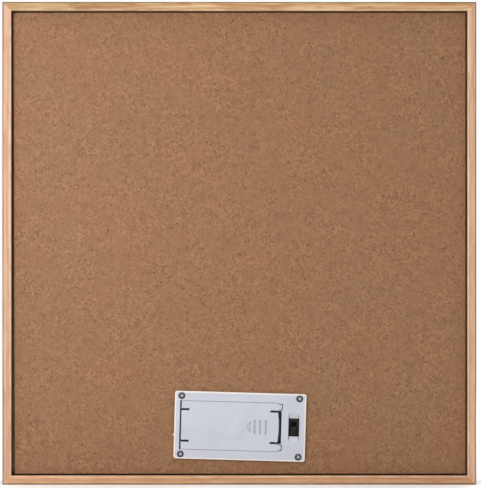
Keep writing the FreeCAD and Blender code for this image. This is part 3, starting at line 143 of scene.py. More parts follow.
def rgb(red, green, blue):
    """A screen colour from 0 to 255 as the linear colour that a shader takes."""
    parts = [c / 255 for c in (red, green, blue)]
    return [c / 12.92 if c <= 0.04045 else ((c + 0.055) / 1.055) ** 2.4 for c in parts] + [1.0]


print("mid grey is", [round(c, 3) for c in rgb(128, 128, 128)])

# %% [markdown]
# ## Shared effects as node groups
# Several finishes need the same effect: a fine surface skin, wear along edges, dust, wood grain. Each is a
# node group with named inputs and outputs, built once and placed in a material with that material's own
# values. Copying the nodes into each material would also work, but then a better grain would have to be
# made many times. The groups give only colours, masks and heights, and the shader itself stays in the
# material.

# %% start a node group
MASK = [("Mask", "Float")]
SURFACE = [("Color", "Color"), ("Roughness", "Float"), ("Height", "Float")]


def new_group(name, inputs, outputs):
    """An empty node group: (tree, its inputs as sockets to read, its outputs as sockets to feed)."""
    tree = bpy.data.node_groups.new(name, "ShaderNodeTree")
    for label, kind, value in inputs:
        socket = tree.interface.new_socket(label, in_out="INPUT", socket_type="NodeSocket" + kind)
        if value is not None:
            socket.default_value = value
    for label, kind in outputs:
        tree.interface.new_socket(label, in_out="OUTPUT", socket_type="NodeSocket" + kind)
    return tree, tree.nodes.new("NodeGroupInput").outputs, tree.nodes.new("NodeGroupOutput").inputs


def give(tree, out, colour, roughness, height):
    """Feeds the three outputs of a surface group."""
    for name, value in (("Color", colour), ("Roughness", roughness), ("Height", height)):
        tree.links.new(value, out[name])


def place_group(tree, name, inputs):
    """A copy of a group in a material, as its outputs."""
    return put(tree, "Group", inputs, node_tree=bpy.data.node_groups[name]).outputs


# %% [markdown]
# ### Worn and highlighted edges
# Handling rounds and polishes the edges of a part before its faces. A sculptor would paint that by hand.
# Here the Bevel node rounds the normal near an edge, and how far it turns away from the true normal is the
# mask. A noise breaks the line up, because wear is never even. Some finishes use the same mask to paint
# highlights where edges catch the light.

# %% edge wear and highlight group
def build_edge_wear():
    tree, given, out = new_group(
        "edge wear and highlight",
        [("Vector", "Vector", None), ("Width", "Float", 0.6 * MM), ("Break Up", "Float", 250.0)],
        MASK,
    )
    rounded = put(tree, "Bevel", {"Radius": given["Width"]}, samples=6).outputs[0]
    flat = put(tree, "NewGeometry").outputs["Normal"]
    same = put(tree, "VectorMath", {0: rounded, 1: flat}, operation="DOT_PRODUCT").outputs["Value"]
    turned = stretch(tree, same, 0.995, 0.80)
    patches = stretch(tree, noise(tree, given["Vector"], given["Break Up"], 3.0), 0.38, 0.62)
    tree.links.new(times(tree, turned, patches), out["Mask"])


def edge_wear(tree, vector, width, break_up):
    """A mask along a material's edges, up to width from them, for wear and for painted highlights."""
    limits = {"Vector": vector, "Width": width, "Break Up": break_up}
    return place_group(tree, "edge wear and highlight", limits)["Mask"]


build_edge_wear()
print("groups:", [g.name for g in bpy.data.node_groups])

# %% [markdown]
# ### Dust
# Dust settles on what faces up and stays in a loose, cloudy layer. The Z part of the normal says what faces
# up, and two noises of different size make the layer uneven. The mask lightens a colour and takes away
# gloss.

# %% dust group
def build_dust():
    tree, given, out = new_group(
        "dust",
        [("Vector", "Vector", None), ("Amount", "Float", 0.3)],
        MASK,
    )
    up = stretch(tree, normal(tree)["Z"], 0.2, 1.0, 0.12, 1.0)
    cloudy = noise(tree, given["Vector"], 45.0, 6.0, 0.7)
    specks = noise(tree, given["Vector"], 2600.0, 1.0)
    speckled = stretch(tree, specks, 0.3, 0.7, 0.4, 1.0)
    layer = times(tree, stretch(tree, cloudy, 0.35, 0.7), speckled)
    tree.links.new(times(tree, times(tree, layer, up), given["Amount"]), out["Mask"])


def dust(tree, vector, amount):
    """Where dust lies on a material."""
    return place_group(tree, "dust", {"Vector": vector, "Amount": amount})["Mask"]


build_dust()
print("dust group ready")

# %% [markdown]
# ### Painted recess shade
# Shade is painted darker where a surface is deep and close to its neighbours: in the gap round the back,
# round the screws, in the grip marks. Ambient occlusion measures how open a place is, and the mask is what
# lies below a chosen openness. Painting it by hand would give more control, and would have to be done again
# whenever a part changed.

# %% painted recess shade group
def build_grime():
    tree, given, out = new_group(
        "grime",
        [("Reach", "Float", 1.4 * MM), ("Start", "Float", 0.85), ("Full", "Float", 0.35),
         ("Amount", "Float", 1.0)],
        MASK,
    )
    openness = put(tree, "AmbientOcclusion", {"Distance": given["Reach"]}, samples=8).outputs["AO"]
    deep = stretch(tree, openness, given["Start"], given["Full"])
    tree.links.new(times(tree, deep, given["Amount"]), out["Mask"])


def grime(tree, reach, start, full, amount):
    """Where shade is painted into recesses: from start open down to full, with neighbours up to reach away.
    """
    limits = {"Reach": reach, "Start": start, "Full": full, "Amount": amount}
    return place_group(tree, "grime", limits)["Mask"]


build_grime()
print("grime group ready")

# %% [markdown]
# ### Softwood grain
# A planed strip of softwood shows three things: wide bands of early and late wood that run along it and
# wander slightly, fine fibres a few tenths of a millimetre wide, and now and then a knot that the bands
# flow round. A picture of wood could be wrapped on, but it would repeat and blur close up. The group takes
# coordinates whose X runs along the strip, and stretches its noises along X: each set of three numbers
# says how many of a mark there are to a metre, along the strip and across it both ways.

# %% softwood group
KNOT_CELLS = (9.0, 60.0, 60.0)
SLOW_BENDS = (7.0, 90.0, 90.0)
FIBRES = (60.0, 2600.0, 2600.0)
CLOUDS = (22.0, 160.0, 160.0)
STREAKS = (62.0, 520.0, 520.0)


def build_softwood():
    tree, given, out = new_group(
        "softwood grain",
        [("Vector", "Vector", None), ("Early", "Color", (0.7, 0.5, 0.3, 1)),
         ("Late", "Color", (0.5, 0.3, 0.2, 1)), ("Band Width", "Float", 2.2 * MM),
         ("Figure", "Float", 0.45), ("Knots", "Float", 0.0), ("Seed", "Float", 0.0)],
        SURFACE,
    )
    shifted = put(tree, "CombineXYZ", {0: given["Seed"], 1: given["Seed"], 2: given["Seed"]}).outputs[0]
    along = put(tree, "VectorMath", {0: given["Vector"], 1: shifted}, operation="ADD").outputs[0]

    cells = {"Vector": mapped(tree, along, KNOT_CELLS), "Scale": 1.0}
    knot = put(tree, "TexVoronoi", cells, feature="SMOOTH_F1").outputs["Distance"]
    near_knot = times(tree, stretch(tree, knot, 0.42, 0.05), given["Knots"])

    slow = noise(tree, mapped(tree, along, SLOW_BENDS), 1.0, 2.0)
    parts = axes(tree, along)
    across = calc(tree, "ADD", parts["Y"], times(tree, parts["Z"], 0.83))
    bent = calc(tree, "ADD", across, times(tree, slow, 5.0 * MM))
    bent = calc(tree, "ADD", bent, times(tree, near_knot, 3.5 * MM))
    year = calc(tree, "FRACT", calc(tree, "DIVIDE", bent, given["Band Width"]))
    late = times(tree, stretch(tree, year, 0.25, 0.9), stretch(tree, year, 1.0, 0.93))

    fibre = noise(tree, mapped(tree, along, FIBRES), 1.0, 4.0, 0.6)
    cloud = noise(tree, mapped(tree, along, CLOUDS), 1.0, 3.0)
    streak = noise(tree, mapped(tree, along, STREAKS), 1.0, 5.0, distortion=0.5)

    clouded = times(tree, stretch(tree, cloud, 0.32, 0.68), given["Figure"])
    share = calc(tree, "MULTIPLY_ADD", late, 0.5, clouded, clamp=True)
    colour = tint(tree, share, given["Early"], given["Late"])
    resin = filtered(tree, given["Late"], (0.88, 0.78, 0.70, 1))
    resinous = times(tree, stretch(tree, streak, 0.50, 0.68), given["Figure"])
    colour = tint(tree, resinous, colour, resin)
    sappy = times(tree, stretch(tree, streak, 0.44, 0.30), given["Figure"])
    colour = tint(tree, sappy, colour, lifted(tree, colour, (0.05, 0.06, 0.07, 1)))
    fibres = stretch(tree, fibre, 0.30, 0.75, 0.0, 0.30)
    colour = tint(tree, fibres, colour, filtered(tree, colour, (0.62, 0.50, 0.42, 1)))
    heart = filtered(tree, given["Late"], (0.42, 0.30, 0.22, 1))
    colour = tint(tree, times(tree, near_knot, 0.75), colour, heart)
    roughness = stretch(tree, fibre, 0.3, 0.7, 0.50, 0.68)
    give(tree, out, colour, roughness, calc(tree, "MULTIPLY_ADD", late, 0.35, fibre))


build_softwood()
print("softwood group ready")

# %% [markdown]
# ### Moulded skin
# Moulded plastic takes its surface from the steel mould: an even grain of a few hundredths of a millimetre,
# faint cloudy flow marks, and smear marks where fingers have been. One group serves the battery box, the
# switch and the gears, with a different grain size and depth for each.

# %% moulded skin group
def build_moulded_skin():
    tree, given, out = new_group(
        "moulded skin",
        [("Vector", "Vector", None), ("Color", "Color", (0.8, 0.8, 0.8, 1)),
         ("Grain Scale", "Float", 3500.0), ("Gloss", "Float", 0.38), ("Uneven", "Float", 0.06)],
        SURFACE,
    )
    grain = noise(tree, given["Vector"], given["Grain Scale"], 3.0)
    flow = noise(tree, given["Vector"], 38.0, 4.0, distortion=0.8)
    smear = noise(tree, given["Vector"], 210.0, 5.0, 0.7)
    darker = filtered(tree, given["Color"], (0.80, 0.80, 0.82, 1))
    strength = times(tree, given["Uneven"], 8.0)
    marked = times(tree, stretch(tree, flow, 0.3, 0.7), strength)
    colour = tint(tree, marked, given["Color"], darker)
    uneven = times(tree, stretch(tree, smear, 0.3, 0.7, -1.0, 1.0), given["Uneven"])
    give(tree, out, colour, calc(tree, "ADD", given["Gloss"], uneven, clamp=True), grain)


build_moulded_skin()
print("moulded skin group ready")

# %% [markdown]
# ### Plated and turned metal
# Bright small metal parts are rarely even: plating has a cloudy tone, handling leaves dull patches, and
# turned or rolled stock keeps very fine lines. The group stretches one noise into lines along the
# coordinates' X and adds a cloudy stain, so brass, nickel, steel and copper differ only in their values.

# %% metal group
def build_metal_surface():
    tree, given, out = new_group(
        "metal surface",
        [("Vector", "Vector", None), ("Color", "Color", (0.6, 0.6, 0.6, 1)),
         ("Stain", "Color", (0.3, 0.25, 0.2, 1)), ("Stain Amount", "Float", 0.3),
         ("Polish", "Float", 0.3)],
        SURFACE,
    )
    lines = noise(tree, mapped(tree, given["Vector"], (300.0, 5200.0, 5200.0)), 1.0, 2.0)
    cloud = noise(tree, given["Vector"], 330.0, 5.0, 0.65)
    stained = times(tree, stretch(tree, cloud, 0.48, 0.72), given["Stain Amount"])
    colour = tint(tree, stained, given["Color"], given["Stain"])
    rough = calc(tree, "ADD", given["Polish"], times(tree, lines, 0.12))
    rough = calc(tree, "ADD", rough, times(tree, stained, 0.5), clamp=True)
    give(tree, out, colour, rough, lines)


build_metal_surface()
print("metal group ready")

# %% [markdown]
# ## From a group to a finish
# Every material has the same skeleton: coordinates in, a colour, a roughness and a height out, and one
# Principled shader. One helper starts the material and another joins the three to the shader, so that a
# finish can change them on the way. The coordinates are Object coordinates, which here equal the clock's
# own frame, because each object sits at the origin.

# %% material helpers
def new_material(name):
    """(material, tree, shader, object coordinates)"""
    material = bpy.data.materials.new(name)
    material.use_nodes = True
    tree = material.node_tree
    shader = next(n for n in tree.nodes if n.type == "BSDF_PRINCIPLED")
    return material, tree, shader, put(tree, "TexCoord").outputs["Object"]


def connect(tree, shader, colour, roughness, height=None, depth=0.0):
    """Joins a finish to its shader. depth is how tall a height of 1 is, in metres."""
    tree.links.new(colour, shader.inputs["Base Color"])
    tree.links.new(roughness, shader.inputs["Roughness"])
    if height is not None:
        bump = put(tree, "Bump", {"Height": height, "Distance": depth, "Strength": 1.0})
        tree.links.new(bump.outputs[0], shader.inputs["Normal"])


def paint(material, *nodes):
    """Gives CAD pieces their finish."""
    for name in nodes:
        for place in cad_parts[name].material_slots:
            place.material = material
    print(material.name, "->", ", ".join(nodes))


# %% [markdown]
# ## The frame's four wooden rails
# The rails are planed softwood strips, and each was cut from a different stick, so their colours differ:
# the top is yellowish, knotty and strongly figured, the uprights are pinker, and the bottom one is darker
# and goes browner towards one end. A single wood for all four would look like one moulding. The frame's
# outer edge is drawn greyer, and a pale painted highlight lies along its thin inner edge: how far a point
# is from the outside says where both lie. Painted shade darkens the wood near the gaps. The level rails
# have their grain along X, and the upright ones are turned so that it runs along Z.

# %% rail finish
OUTER_EDGE = (1.1 * MM, 0.4 * MM)
INNER_EDGE = (4.2 * MM, 4.9 * MM)


def grain_axes(tree, here, upright):
    """Coordinates whose X runs along a strip's grain."""
    return mapped(tree, here, turn=(0.0, math.pi / 2 if upright else 0.0, 0.0))


def rail_wood(name, upright, early, late, seed, knots=0.0, band=2.2 * MM, figure=0.45, shade=None):
    """Softwood for one rail. shade is (colour, from x, to x): a slow change along a level rail."""
    material, tree, shader, here = new_material(name)
    look = place_group(tree, "softwood grain", {
        "Vector": grain_axes(tree, here, upright), "Early": early, "Late": late, "Band Width": band,
        "Figure": figure, "Knots": knots, "Seed": seed,
    })
    colour = look["Color"]
    parts = axes(tree, here)
    if shade:
        shade_colour, start, end = shade
        shaded = filtered(tree, colour, shade_colour)
        colour = tint(tree, stretch(tree, parts["X"], start, end), colour, shaded)
    # Edges lightened: partly wear, partly a painted highlight where the rounded edges catch the light.
    worn = times(tree, edge_wear(tree, here, 0.9 * MM, 180.0), 0.7)
    colour = tint(tree, worn, colour, lifted(tree, colour, (0.14, 0.14, 0.15, 1)))

    sideways = calc(tree, "SUBTRACT", cad_high.x, calc(tree, "ABSOLUTE", parts["X"]))
    upwards = calc(tree, "SUBTRACT", cad_high.z, calc(tree, "ABSOLUTE", parts["Z"]))
    inwards = calc(tree, "MINIMUM", sideways, upwards)
    # The frame's outer edge is drawn greyer.
    outer_edge_grey = stretch(tree, inwards, *OUTER_EDGE, 0.0, 0.9)
    colour = tint(tree, outer_edge_grey, colour, filtered(tree, colour, rgb(150, 146, 138)))
    # A pale painted highlight along the thin inner edge, broken up by a noise, on the faces that look along
    # Y.
    highlight_breakup = stretch(tree, noise(tree, here, 110.0, 4.0), 0.36, 0.60, 0.15, 0.8)
    inner_edge_highlight = times(tree, stretch(tree, inwards, *INNER_EDGE), highlight_breakup)
    facing = calc(tree, "ABSOLUTE", normal(tree)["Y"])
    inner_edge_highlight = times(tree, inner_edge_highlight, stretch(tree, facing, 0.4, 0.8))
    colour = tint(tree, inner_edge_highlight, colour, lifted(tree, colour, (0.20, 0.20, 0.20, 1)))

    colour = tint(tree, dust(tree, here, 0.16), colour, (0.75, 0.73, 0.70, 1))
    # Painted shade: the wood is darkened near the gaps and in the corners.
    colour = tint(tree, grime(tree, 2.5 * MM, 0.45, 0.15, 0.9), colour, rgb(48, 26, 14))
    connect(tree, shader, colour, look["Roughness"], look["Height"], 0.06 * MM)
    shader.inputs["Specular IOR Level"].default_value = 0.35
    return material


paint(rail_wood("planed softwood, yellow, knotty", False, rgb(222, 190, 144), rgb(184, 140, 92), 0.77,
                knots=1.0, figure=1.0, shade=((0.84, 0.86, 0.84, 1), 0.02, 0.14)), "frame_rail_top")
paint(rail_wood("planed softwood, honey brown", False, rgb(213, 170, 131), rgb(184, 135, 97), 1.73,
                shade=((0.90, 0.86, 0.84, 1), 0.12, -0.14)), "frame_rail_bottom")
paint(rail_wood("planed softwood, pale pink", True, rgb(212, 172, 146), rgb(184, 138, 107), 2.19,
                band=3.4 * MM), "frame_rail_right")
paint(rail_wood("planed softwood, pink tan", True, rgb(220, 178, 148), rgb(190, 146, 116), 3.57,
                band=3.0 * MM), "frame_rail_left")

# %% [markdown]
# ## The battens inside
# Four rough-sawn strips hold the dial and the back apart. Nobody sees them once the clock is closed, so
# they're left as sawn: coarser grain, and shallow saw marks across the strip. The saw marks are a stretched
# wave in the bump.

# %% batten finish
def batten_wood(name, upright, seed):
    material, tree, shader, here = new_material(name)
    along = grain_axes(tree, here, upright)
    look = place_group(tree, "softwood grain", {
        "Vector": along, "Early": rgb(214, 186, 148), "Late": rgb(182, 142, 102),
        "Band Width": 3.5 * MM, "Knots": 0.5, "Seed": seed,
    })
    # Painted shade: the battens are darkened in their corners and where other parts stand close.
    colour = tint(tree, grime(tree, 4.0 * MM, 0.55, 0.30, 0.97), look["Color"], rgb(30, 15, 8))
    marks = {"Vector": along, "Scale": 160.0, "Distortion": 2.5, "Detail": 2.0}
    saw = put(tree, "TexWave", marks).outputs["Fac"]
    sawn = calc(tree, "MULTIPLY_ADD", saw, 0.7, look["Height"])
    connect(tree, shader, colour, look["Roughness"], sawn, 0.12 * MM)
    shader.inputs["Specular IOR Level"].default_value = 0.25
    return material


paint(batten_wood("sawn softwood, level", False, 5.3), "inner_batten_top", "inner_batten_bottom")
paint(batten_wood("sawn softwood, upright", True, 6.1), "inner_batten_left", "inner_batten_right")

# %% [markdown]
# ## The hardboard back
# Hardboard is wood fibre pressed flat: an even brown with short crossing fibres, soft mottling a few
# millimetres wide, and here and there a dark speck of bark. Plain noise looks like sand, so three stretched
# noises at different angles make the fibres. The specks are the small middles of scattered cells, and each
# cell's own random colour says whether it has one, how large and how dark. A row of FIBRE_LAYS turns and
# shifts one of the noises. A row of SPECKS gives the cells to a metre, how rare a speck is, and its
# smallest and largest share of a cell.

# %% hardboard finish
FIBRE_LAYS = ((0.35, 0.0), (-0.7, 3.0), (1.45, 7.0))
FIBRE_SIZES = (640.0, 900.0, 1350.0)
SPECKS = ((150.0, 0.84, 0.03, 0.075), (480.0, 0.86, 0.08, 0.17))


def build_pressed_fibre():
    tree, given, out = new_group(
        "pressed fibre",
        [("Vector", "Vector", None), ("Color", "Color", (0.34, 0.18, 0.1, 1)),
         ("Speck", "Color", (0.12, 0.06, 0.03, 1))],
        SURFACE,
    )
    fibres = []
    for angle, seed in FIBRE_LAYS:
        turned = mapped(tree, given["Vector"], turn=(0.0, angle, 0.0), shift=(seed, seed, seed))
        fibres.append(noise(tree, mapped(tree, turned, FIBRE_SIZES), 1.0, 3.0, distortion=0.8))
    crossed = times(tree, fibres[0], fibres[1])
    crossed = calc(tree, "ADD", crossed, times(tree, fibres[2], 0.5))
    felt = stretch(tree, crossed, 0.34, 0.66)
    mottle = noise(tree, given["Vector"], 190.0, 4.0, 0.6)
    patch = noise(tree, given["Vector"], 22.0, 2.0)
    calm = noise(tree, given["Vector"], 75.0, 2.0)
    light = filtered(tree, given["Color"], (1.46, 1.46, 1.48, 1))
    dark = filtered(tree, given["Color"], (0.64, 0.62, 0.59, 1))
    colour = tint(tree, felt, dark, light)
    colour = tint(tree, stretch(tree, calm, 0.42, 0.62, 0.0, 0.5), colour, given["Color"])
    colour = tint(tree, stretch(tree, mottle, 0.50, 0.75, 0.0, 0.5), colour, dark)
    warm = filtered(tree, colour, (1.03, 0.98, 0.97, 1))
    colour = tint(tree, stretch(tree, patch, 0.4, 0.62), colour, warm)
    speck = 0.0
    for scale, least, small, large in SPECKS:
        spots = put(tree, "TexVoronoi", {"Vector": given["Vector"], "Scale": scale}).outputs
        chance = put(tree, "SeparateColor", {0: spots["Color"]}).outputs
        size = stretch(tree, chance[1], 0.0, 1.0, small, large)
        spot = stretch(tree, calc(tree, "DIVIDE", spots["Distance"], size), 2.6, 1.0)
        spot = times(tree, spot, stretch(tree, chance[2], 0.0, 1.0, 0.4, 1.0))
        spot = times(tree, spot, stretch(tree, chance[0], least, least + 0.05))
        speck = calc(tree, "MAXIMUM", spot, speck)
    colour = tint(tree, times(tree, speck, 0.9), colour, given["Speck"])
    height = calc(tree, "SUBTRACT", felt, times(tree, speck, 0.4))
    give(tree, out, colour, stretch(tree, felt, 0.0, 1.0, 0.66, 0.52), height)


def hardboard(name):
    material, tree, shader, here = new_material(name)
    shades = {"Vector": here, "Color": rgb(138, 101, 71), "Speck": rgb(66, 40, 26)}
    look = place_group(tree, "pressed fibre", shades)
    # The board's edges are drawn lighter.
    worn = times(tree, edge_wear(tree, here, 0.6 * MM, 400.0), 0.6)
    lighter_edge = lifted(tree, look["Color"], (0.08, 0.08, 0.08, 1))
    colour = tint(tree, worn, look["Color"], lighter_edge)
    # Painted shade: the board is darkened near the frame and round the battery box.
    colour = tint(tree, grime(tree, 1.6 * MM, 0.50, 0.20, 0.8), colour, rgb(48, 26, 14))
    connect(tree, shader, colour, look["Roughness"], look["Height"], 0.05 * MM)
    shader.inputs["Specular IOR Level"].default_value = 0.30
    return material


build_pressed_fibre()
paint(hardboard("hardboard, smooth side"), "back_panel")

# %% [markdown]
# ## The battery box's white plastic
# Plate, tub and door are satin styrene: a cool white with a fine moulded grain. Its fillets catch the
# light, and painted shade darkens the engraved grip marks and the gaps. A narrow band along the plate's
# rounded outer edge is painted as a cream highlight, and its sloping fillets get a painted warm light: a
# Mapping node of the texture kind undoes the box's own place and turn, and what's left is how far a point
# is from the plate's edge. RIM_HIGHLIGHT says where in from the edge the cream starts. Each row of
# RECESS_SHADE_LAYERS places the painted recess shade group once: its reach, and how open a place is where
# the shade starts and where it is full. The same recipe, with other values, makes the black plastics, the
# gears and the bobbin.

# %% white plastic finish
BOX_PLACE = (-0.4 * MM, 0.0, -116.1 * MM)
BOX_TURN = (0.0, math.radians(-1.6), 0.0)
PLATE_HALF_WIDTH = 41.7 * MM
PLATE_HALF_HEIGHT = 21.5 * MM
RIM_HIGHLIGHT = (-1.1 * MM, -0.7 * MM)
RECESS_SHADE_LAYERS = ((1.4 * MM, 0.93, 0.30), (6.0 * MM, 0.50, 0.25))


def moulded_plastic(name, colour, grain=3500.0, gloss=0.38, uneven=0.05, depth=0.02 * MM, recess_shade=0.0,
                    wear=0.0, rim_tone=0.0):
    """A moulded finish. The last three values, from 0 to 1, are how much painted shade lies in its
    recesses, how worn its edges are, and how strong its painted rim highlight and fillet light are.
    """
    material, tree, shader, here = new_material(name)
    look = place_group(tree, "moulded skin", {
        "Vector": here, "Color": colour, "Grain Scale": grain, "Gloss": gloss, "Uneven": uneven,
    })
    shown = look["Color"]
    if wear:
        worn = times(tree, edge_wear(tree, here, 0.5 * MM, 300.0), wear)
        shown = tint(tree, worn, shown, lifted(tree, shown, (0.12, 0.12, 0.12, 1)))
    # A cream painted highlight along the plate's rounded outer edge, and painted warm light on the sloping
    # fillets.
    if rim_tone:
        parts = axes(tree, unplaced(tree, here, BOX_PLACE, BOX_TURN))
        sideways = calc(tree, "SUBTRACT", calc(tree, "ABSOLUTE", parts["X"]), PLATE_HALF_WIDTH)
        upwards = calc(tree, "SUBTRACT", calc(tree, "ABSOLUTE", parts["Z"]), PLATE_HALF_HEIGHT)
        rim = stretch(tree, calc(tree, "MAXIMUM", sideways, upwards), *RIM_HIGHLIGHT, 0.0, rim_tone)
        shown = tint(tree, rim, shown, rgb(250, 240, 229))
        facing = calc(tree, "ABSOLUTE", normal(tree)["Y"])
        fillet_light_tint = stretch(tree, facing, 0.985, 0.75, 0.0, 0.5 * rim_tone)
        shown = tint(tree, fillet_light_tint, shown, rgb(204, 192, 188))
    # Painted shade: the grip marks, the gaps and the corners are darkened.
    if recess_shade:
        for reach, start, full in RECESS_SHADE_LAYERS:
            shown = tint(tree, grime(tree, reach, start, full, recess_shade), shown, rgb(48, 46, 48))
    connect(tree, shader, shown, look["Roughness"], look["Height"], depth)
    return material


paint(moulded_plastic("white styrene, satin", rgb(194, 197, 209), recess_shade=0.95, rim_tone=0.65),
      "battery_tray", "battery_door")
paint(moulded_plastic("black moulded knob", rgb(10, 8, 8), gloss=0.70, depth=0.03 * MM), "switch_slider")
paint(moulded_plastic("black movement housing", rgb(34, 33, 33), grain=1500.0, gloss=0.5, depth=0.06 * MM,
                      wear=0.25), "movement_base", "movement_cover")
paint(moulded_plastic("chip resin", rgb(26, 26, 28), grain=5200.0, gloss=0.55), "circuit_chip")
paint(moulded_plastic("natural acetal", rgb(228, 224, 208), grain=4200.0, gloss=0.34, uneven=0.08,
                      wear=0.3),
      "step_wheel", "third_wheel", "second_wheel", "centre_wheel", "motion_wheel", "hour_wheel",
      "rotor_pinion", "movement_middle_plate")
paint(moulded_plastic("red nylon bobbin", rgb(170, 52, 40), grain=3800.0, gloss=0.40), "coil_bobbin")

# %% [markdown]
# ## Metals
# Four metals and a magnet share one recipe. Brads, the seconds arbor, the coil's core and the stator are
# zinc-plated or plain steel, springs, contacts and the crystal's can are nickel-plated, the minute arbor,
# nuts and washer are turned brass, and the lamps' wires are bare copper. The magnet is sintered, so it is
# dark and dull. Only the values say which is which.

# %% metal finishes
def metal(name, colour, stain, amount, polish, depth=0.008 * MM, recess_shade=0.0):
    """A metal finish. amount is how much is stained, and the last value how much painted shade its corners
    hold, from 0 to 1.
    """
    material, tree, shader, here = new_material(name)
    look = place_group(tree, "metal surface", {
        "Vector": here, "Color": colour, "Stain": stain, "Stain Amount": amount, "Polish": polish,
    })
    shown = look["Color"]
    # Painted shade: the corners are darkened.
    if recess_shade:
        shown = tint(tree, grime(tree, 1.0 * MM, 0.9, 0.45, recess_shade), shown, rgb(24, 22, 22))
    connect(tree, shader, shown, look["Roughness"], look["Height"], depth)
    shader.inputs["Metallic"].default_value = 1.0
    return material


zinc = metal("zinc-plated steel", rgb(196, 194, 190), rgb(120, 108, 96), 0.35, 0.26, recess_shade=0.8)
nickel = metal("nickel plate", rgb(205, 200, 190), rgb(150, 138, 120), 0.25, 0.20)
brass = metal("turned brass", rgb(214, 176, 102), rgb(132, 98, 52), 0.35, 0.22)
copper = metal("bare copper wire", rgb(206, 132, 92), rgb(110, 62, 44), 0.40, 0.28)
ferrite = metal("sintered magnet", rgb(96, 96, 100), rgb(60, 58, 58), 0.50, 0.45, depth=0.02 * MM)
paint(zinc, "frame_corner_brads", "second_arbor", "coil_core", "stator_plate")
paint(nickel, "cell_bridge_contact", "cell_plus_contact", "cell_minus_contact", "movement_terminals",
      "quartz_crystal")
paint(brass, "minute_arbor", "bush_nut", "bush_washer", "minute_hand_nut", "switch_wiper")
paint(copper, "lamp_ring_wires", "hour_lamp_legs", "switch_link_wire")
paint(ferrite, "rotor_magnet")

# %% [markdown]
# ## The box's four screws
# The screws are oiled black, and their crosses and head edges carry a painted highlight. Depth below the
# top of the head says where the cross's highlight lies. The highlight is less of a mirror, so it looks pale
# wherever it is seen from.

# %% screw finish
def scraped_screw(name, node):
    material, tree, shader, here = new_material(name)
    look = place_group(tree, "metal surface", {
        "Vector": here, "Color": rgb(84, 84, 88), "Stain": rgb(40, 38, 40), "Stain Amount": 0.6,
        "Polish": 0.34,
    })
    depth = calc(tree, "SUBTRACT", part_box(node)[1].y, axes(tree, here)["Y"])
    # A painted highlight: the cross and the head's edges are pale and less metallic, so they look bright
    # from every side.
    cross_highlight = stretch(tree, depth, 0.15 * MM, 0.30 * MM)
    worn = times(tree, edge_wear(tree, here, 0.4 * MM, 600.0), 0.8)
    bare = calc(tree, "MAXIMUM", cross_highlight, worn)
    colour = tint(tree, bare, look["Color"], rgb(224, 224, 226))
    connect(tree, shader, colour, look["Roughness"], look["Height"], 0.008 * MM)
    tree.links.new(calc(tree, "SUBTRACT", 1.0, times(tree, bare, 0.7)), shader.inputs["Metallic"])
    return material


paint(scraped_screw("oiled screws, painted highlights on crosses", "battery_box_screws"), "battery_box_screws")

# %% [markdown]
# ## The blackened switch case
# The switch sits behind the plate's window, and its steel case is blackened so that it doesn't shine there.
# Metal that is blackened keeps a metal's gloss but almost none of its colour, so it is a dark metal with a
# rough, cloudy skin, and painted shade darkens its slot and corners. The pins inside are coloured near
# black as painted shade, so the slot reads dark.

# %% switch case finish
# Painted shade darkens the case's slot and corners.
paint(metal("blackened steel", rgb(66, 60, 60), rgb(34, 28, 27), 0.5, 0.50, depth=0.012 * MM, recess_shade=0.9),
      "switch_case")
# The pins are coloured near black as painted shade in the switch's slot.
paint(metal("switch pins, dark as painted shade", rgb(40, 34, 30), rgb(22, 18, 16), 0.8, 0.45),
      "switch_terminals")

# %% [markdown]
# ## The coil's winding
# Thousands of turns of enamelled wire look like a smooth copper-brown barrel with a fine thread. Real turns
# would be far too many faces, so a wave along the coil's own axis, X, makes the thread in the bump and in
# the colour.

# %% winding finish
def winding(name, pitch):
    material, tree, shader, here = new_material(name)
    thread = {"Vector": here, "Scale": math.tau / (20.0 * pitch), "Distortion": 0.6, "Detail": 1.0}
    turns = put(tree, "TexWave", thread, bands_direction="X").outputs["Fac"]
    cloud = noise(tree, here, 700.0, 3.0)
    enamel = tint(tree, turns, rgb(96, 40, 20), rgb(190, 96, 52))
    enamel = tint(tree, stretch(tree, cloud, 0.4, 0.7), enamel, rgb(150, 70, 34))
    connect(tree, shader, enamel, stretch(tree, cloud, 0.3, 0.7, 0.2, 0.32), turns, 0.04 * MM)
    shader.inputs["Metallic"].default_value = 0.85
    return material


paint(winding("enamelled winding", 0.18 * MM), "coil_winding")

# %% [markdown]
# ## Wires
# Four thin leads run inside the case. Their PVC is soft and satin, and picks up a little dust. Red is plus,
# black is minus.

# %% wire finish
def pvc(name, colour):
    material, tree, shader, here = new_material(name)
    look = place_group(tree, "moulded skin", {
        "Vector": here, "Color": colour, "Grain Scale": 2600.0, "Gloss": 0.36, "Uneven": 0.08,
    })
    dusty = tint(tree, dust(tree, here, 0.25), look["Color"], rgb(196, 188, 178))
    connect(tree, shader, dusty, look["Roughness"], look["Height"], 0.01 * MM)
    return material


paint(pvc("red PVC", rgb(196, 34, 28)), "movement_lead_positive", "lamp_lead_positive")
paint(pvc("black PVC", rgb(36, 36, 38)), "movement_lead_negative", "lamp_lead_negative")

# %% [markdown]
# ## The lamps' resistor
# A coated resistor carries colour bands across its body. A colour ramp with hard steps along the body's
# length paints them, with the body's own ends read from the CAD frame.

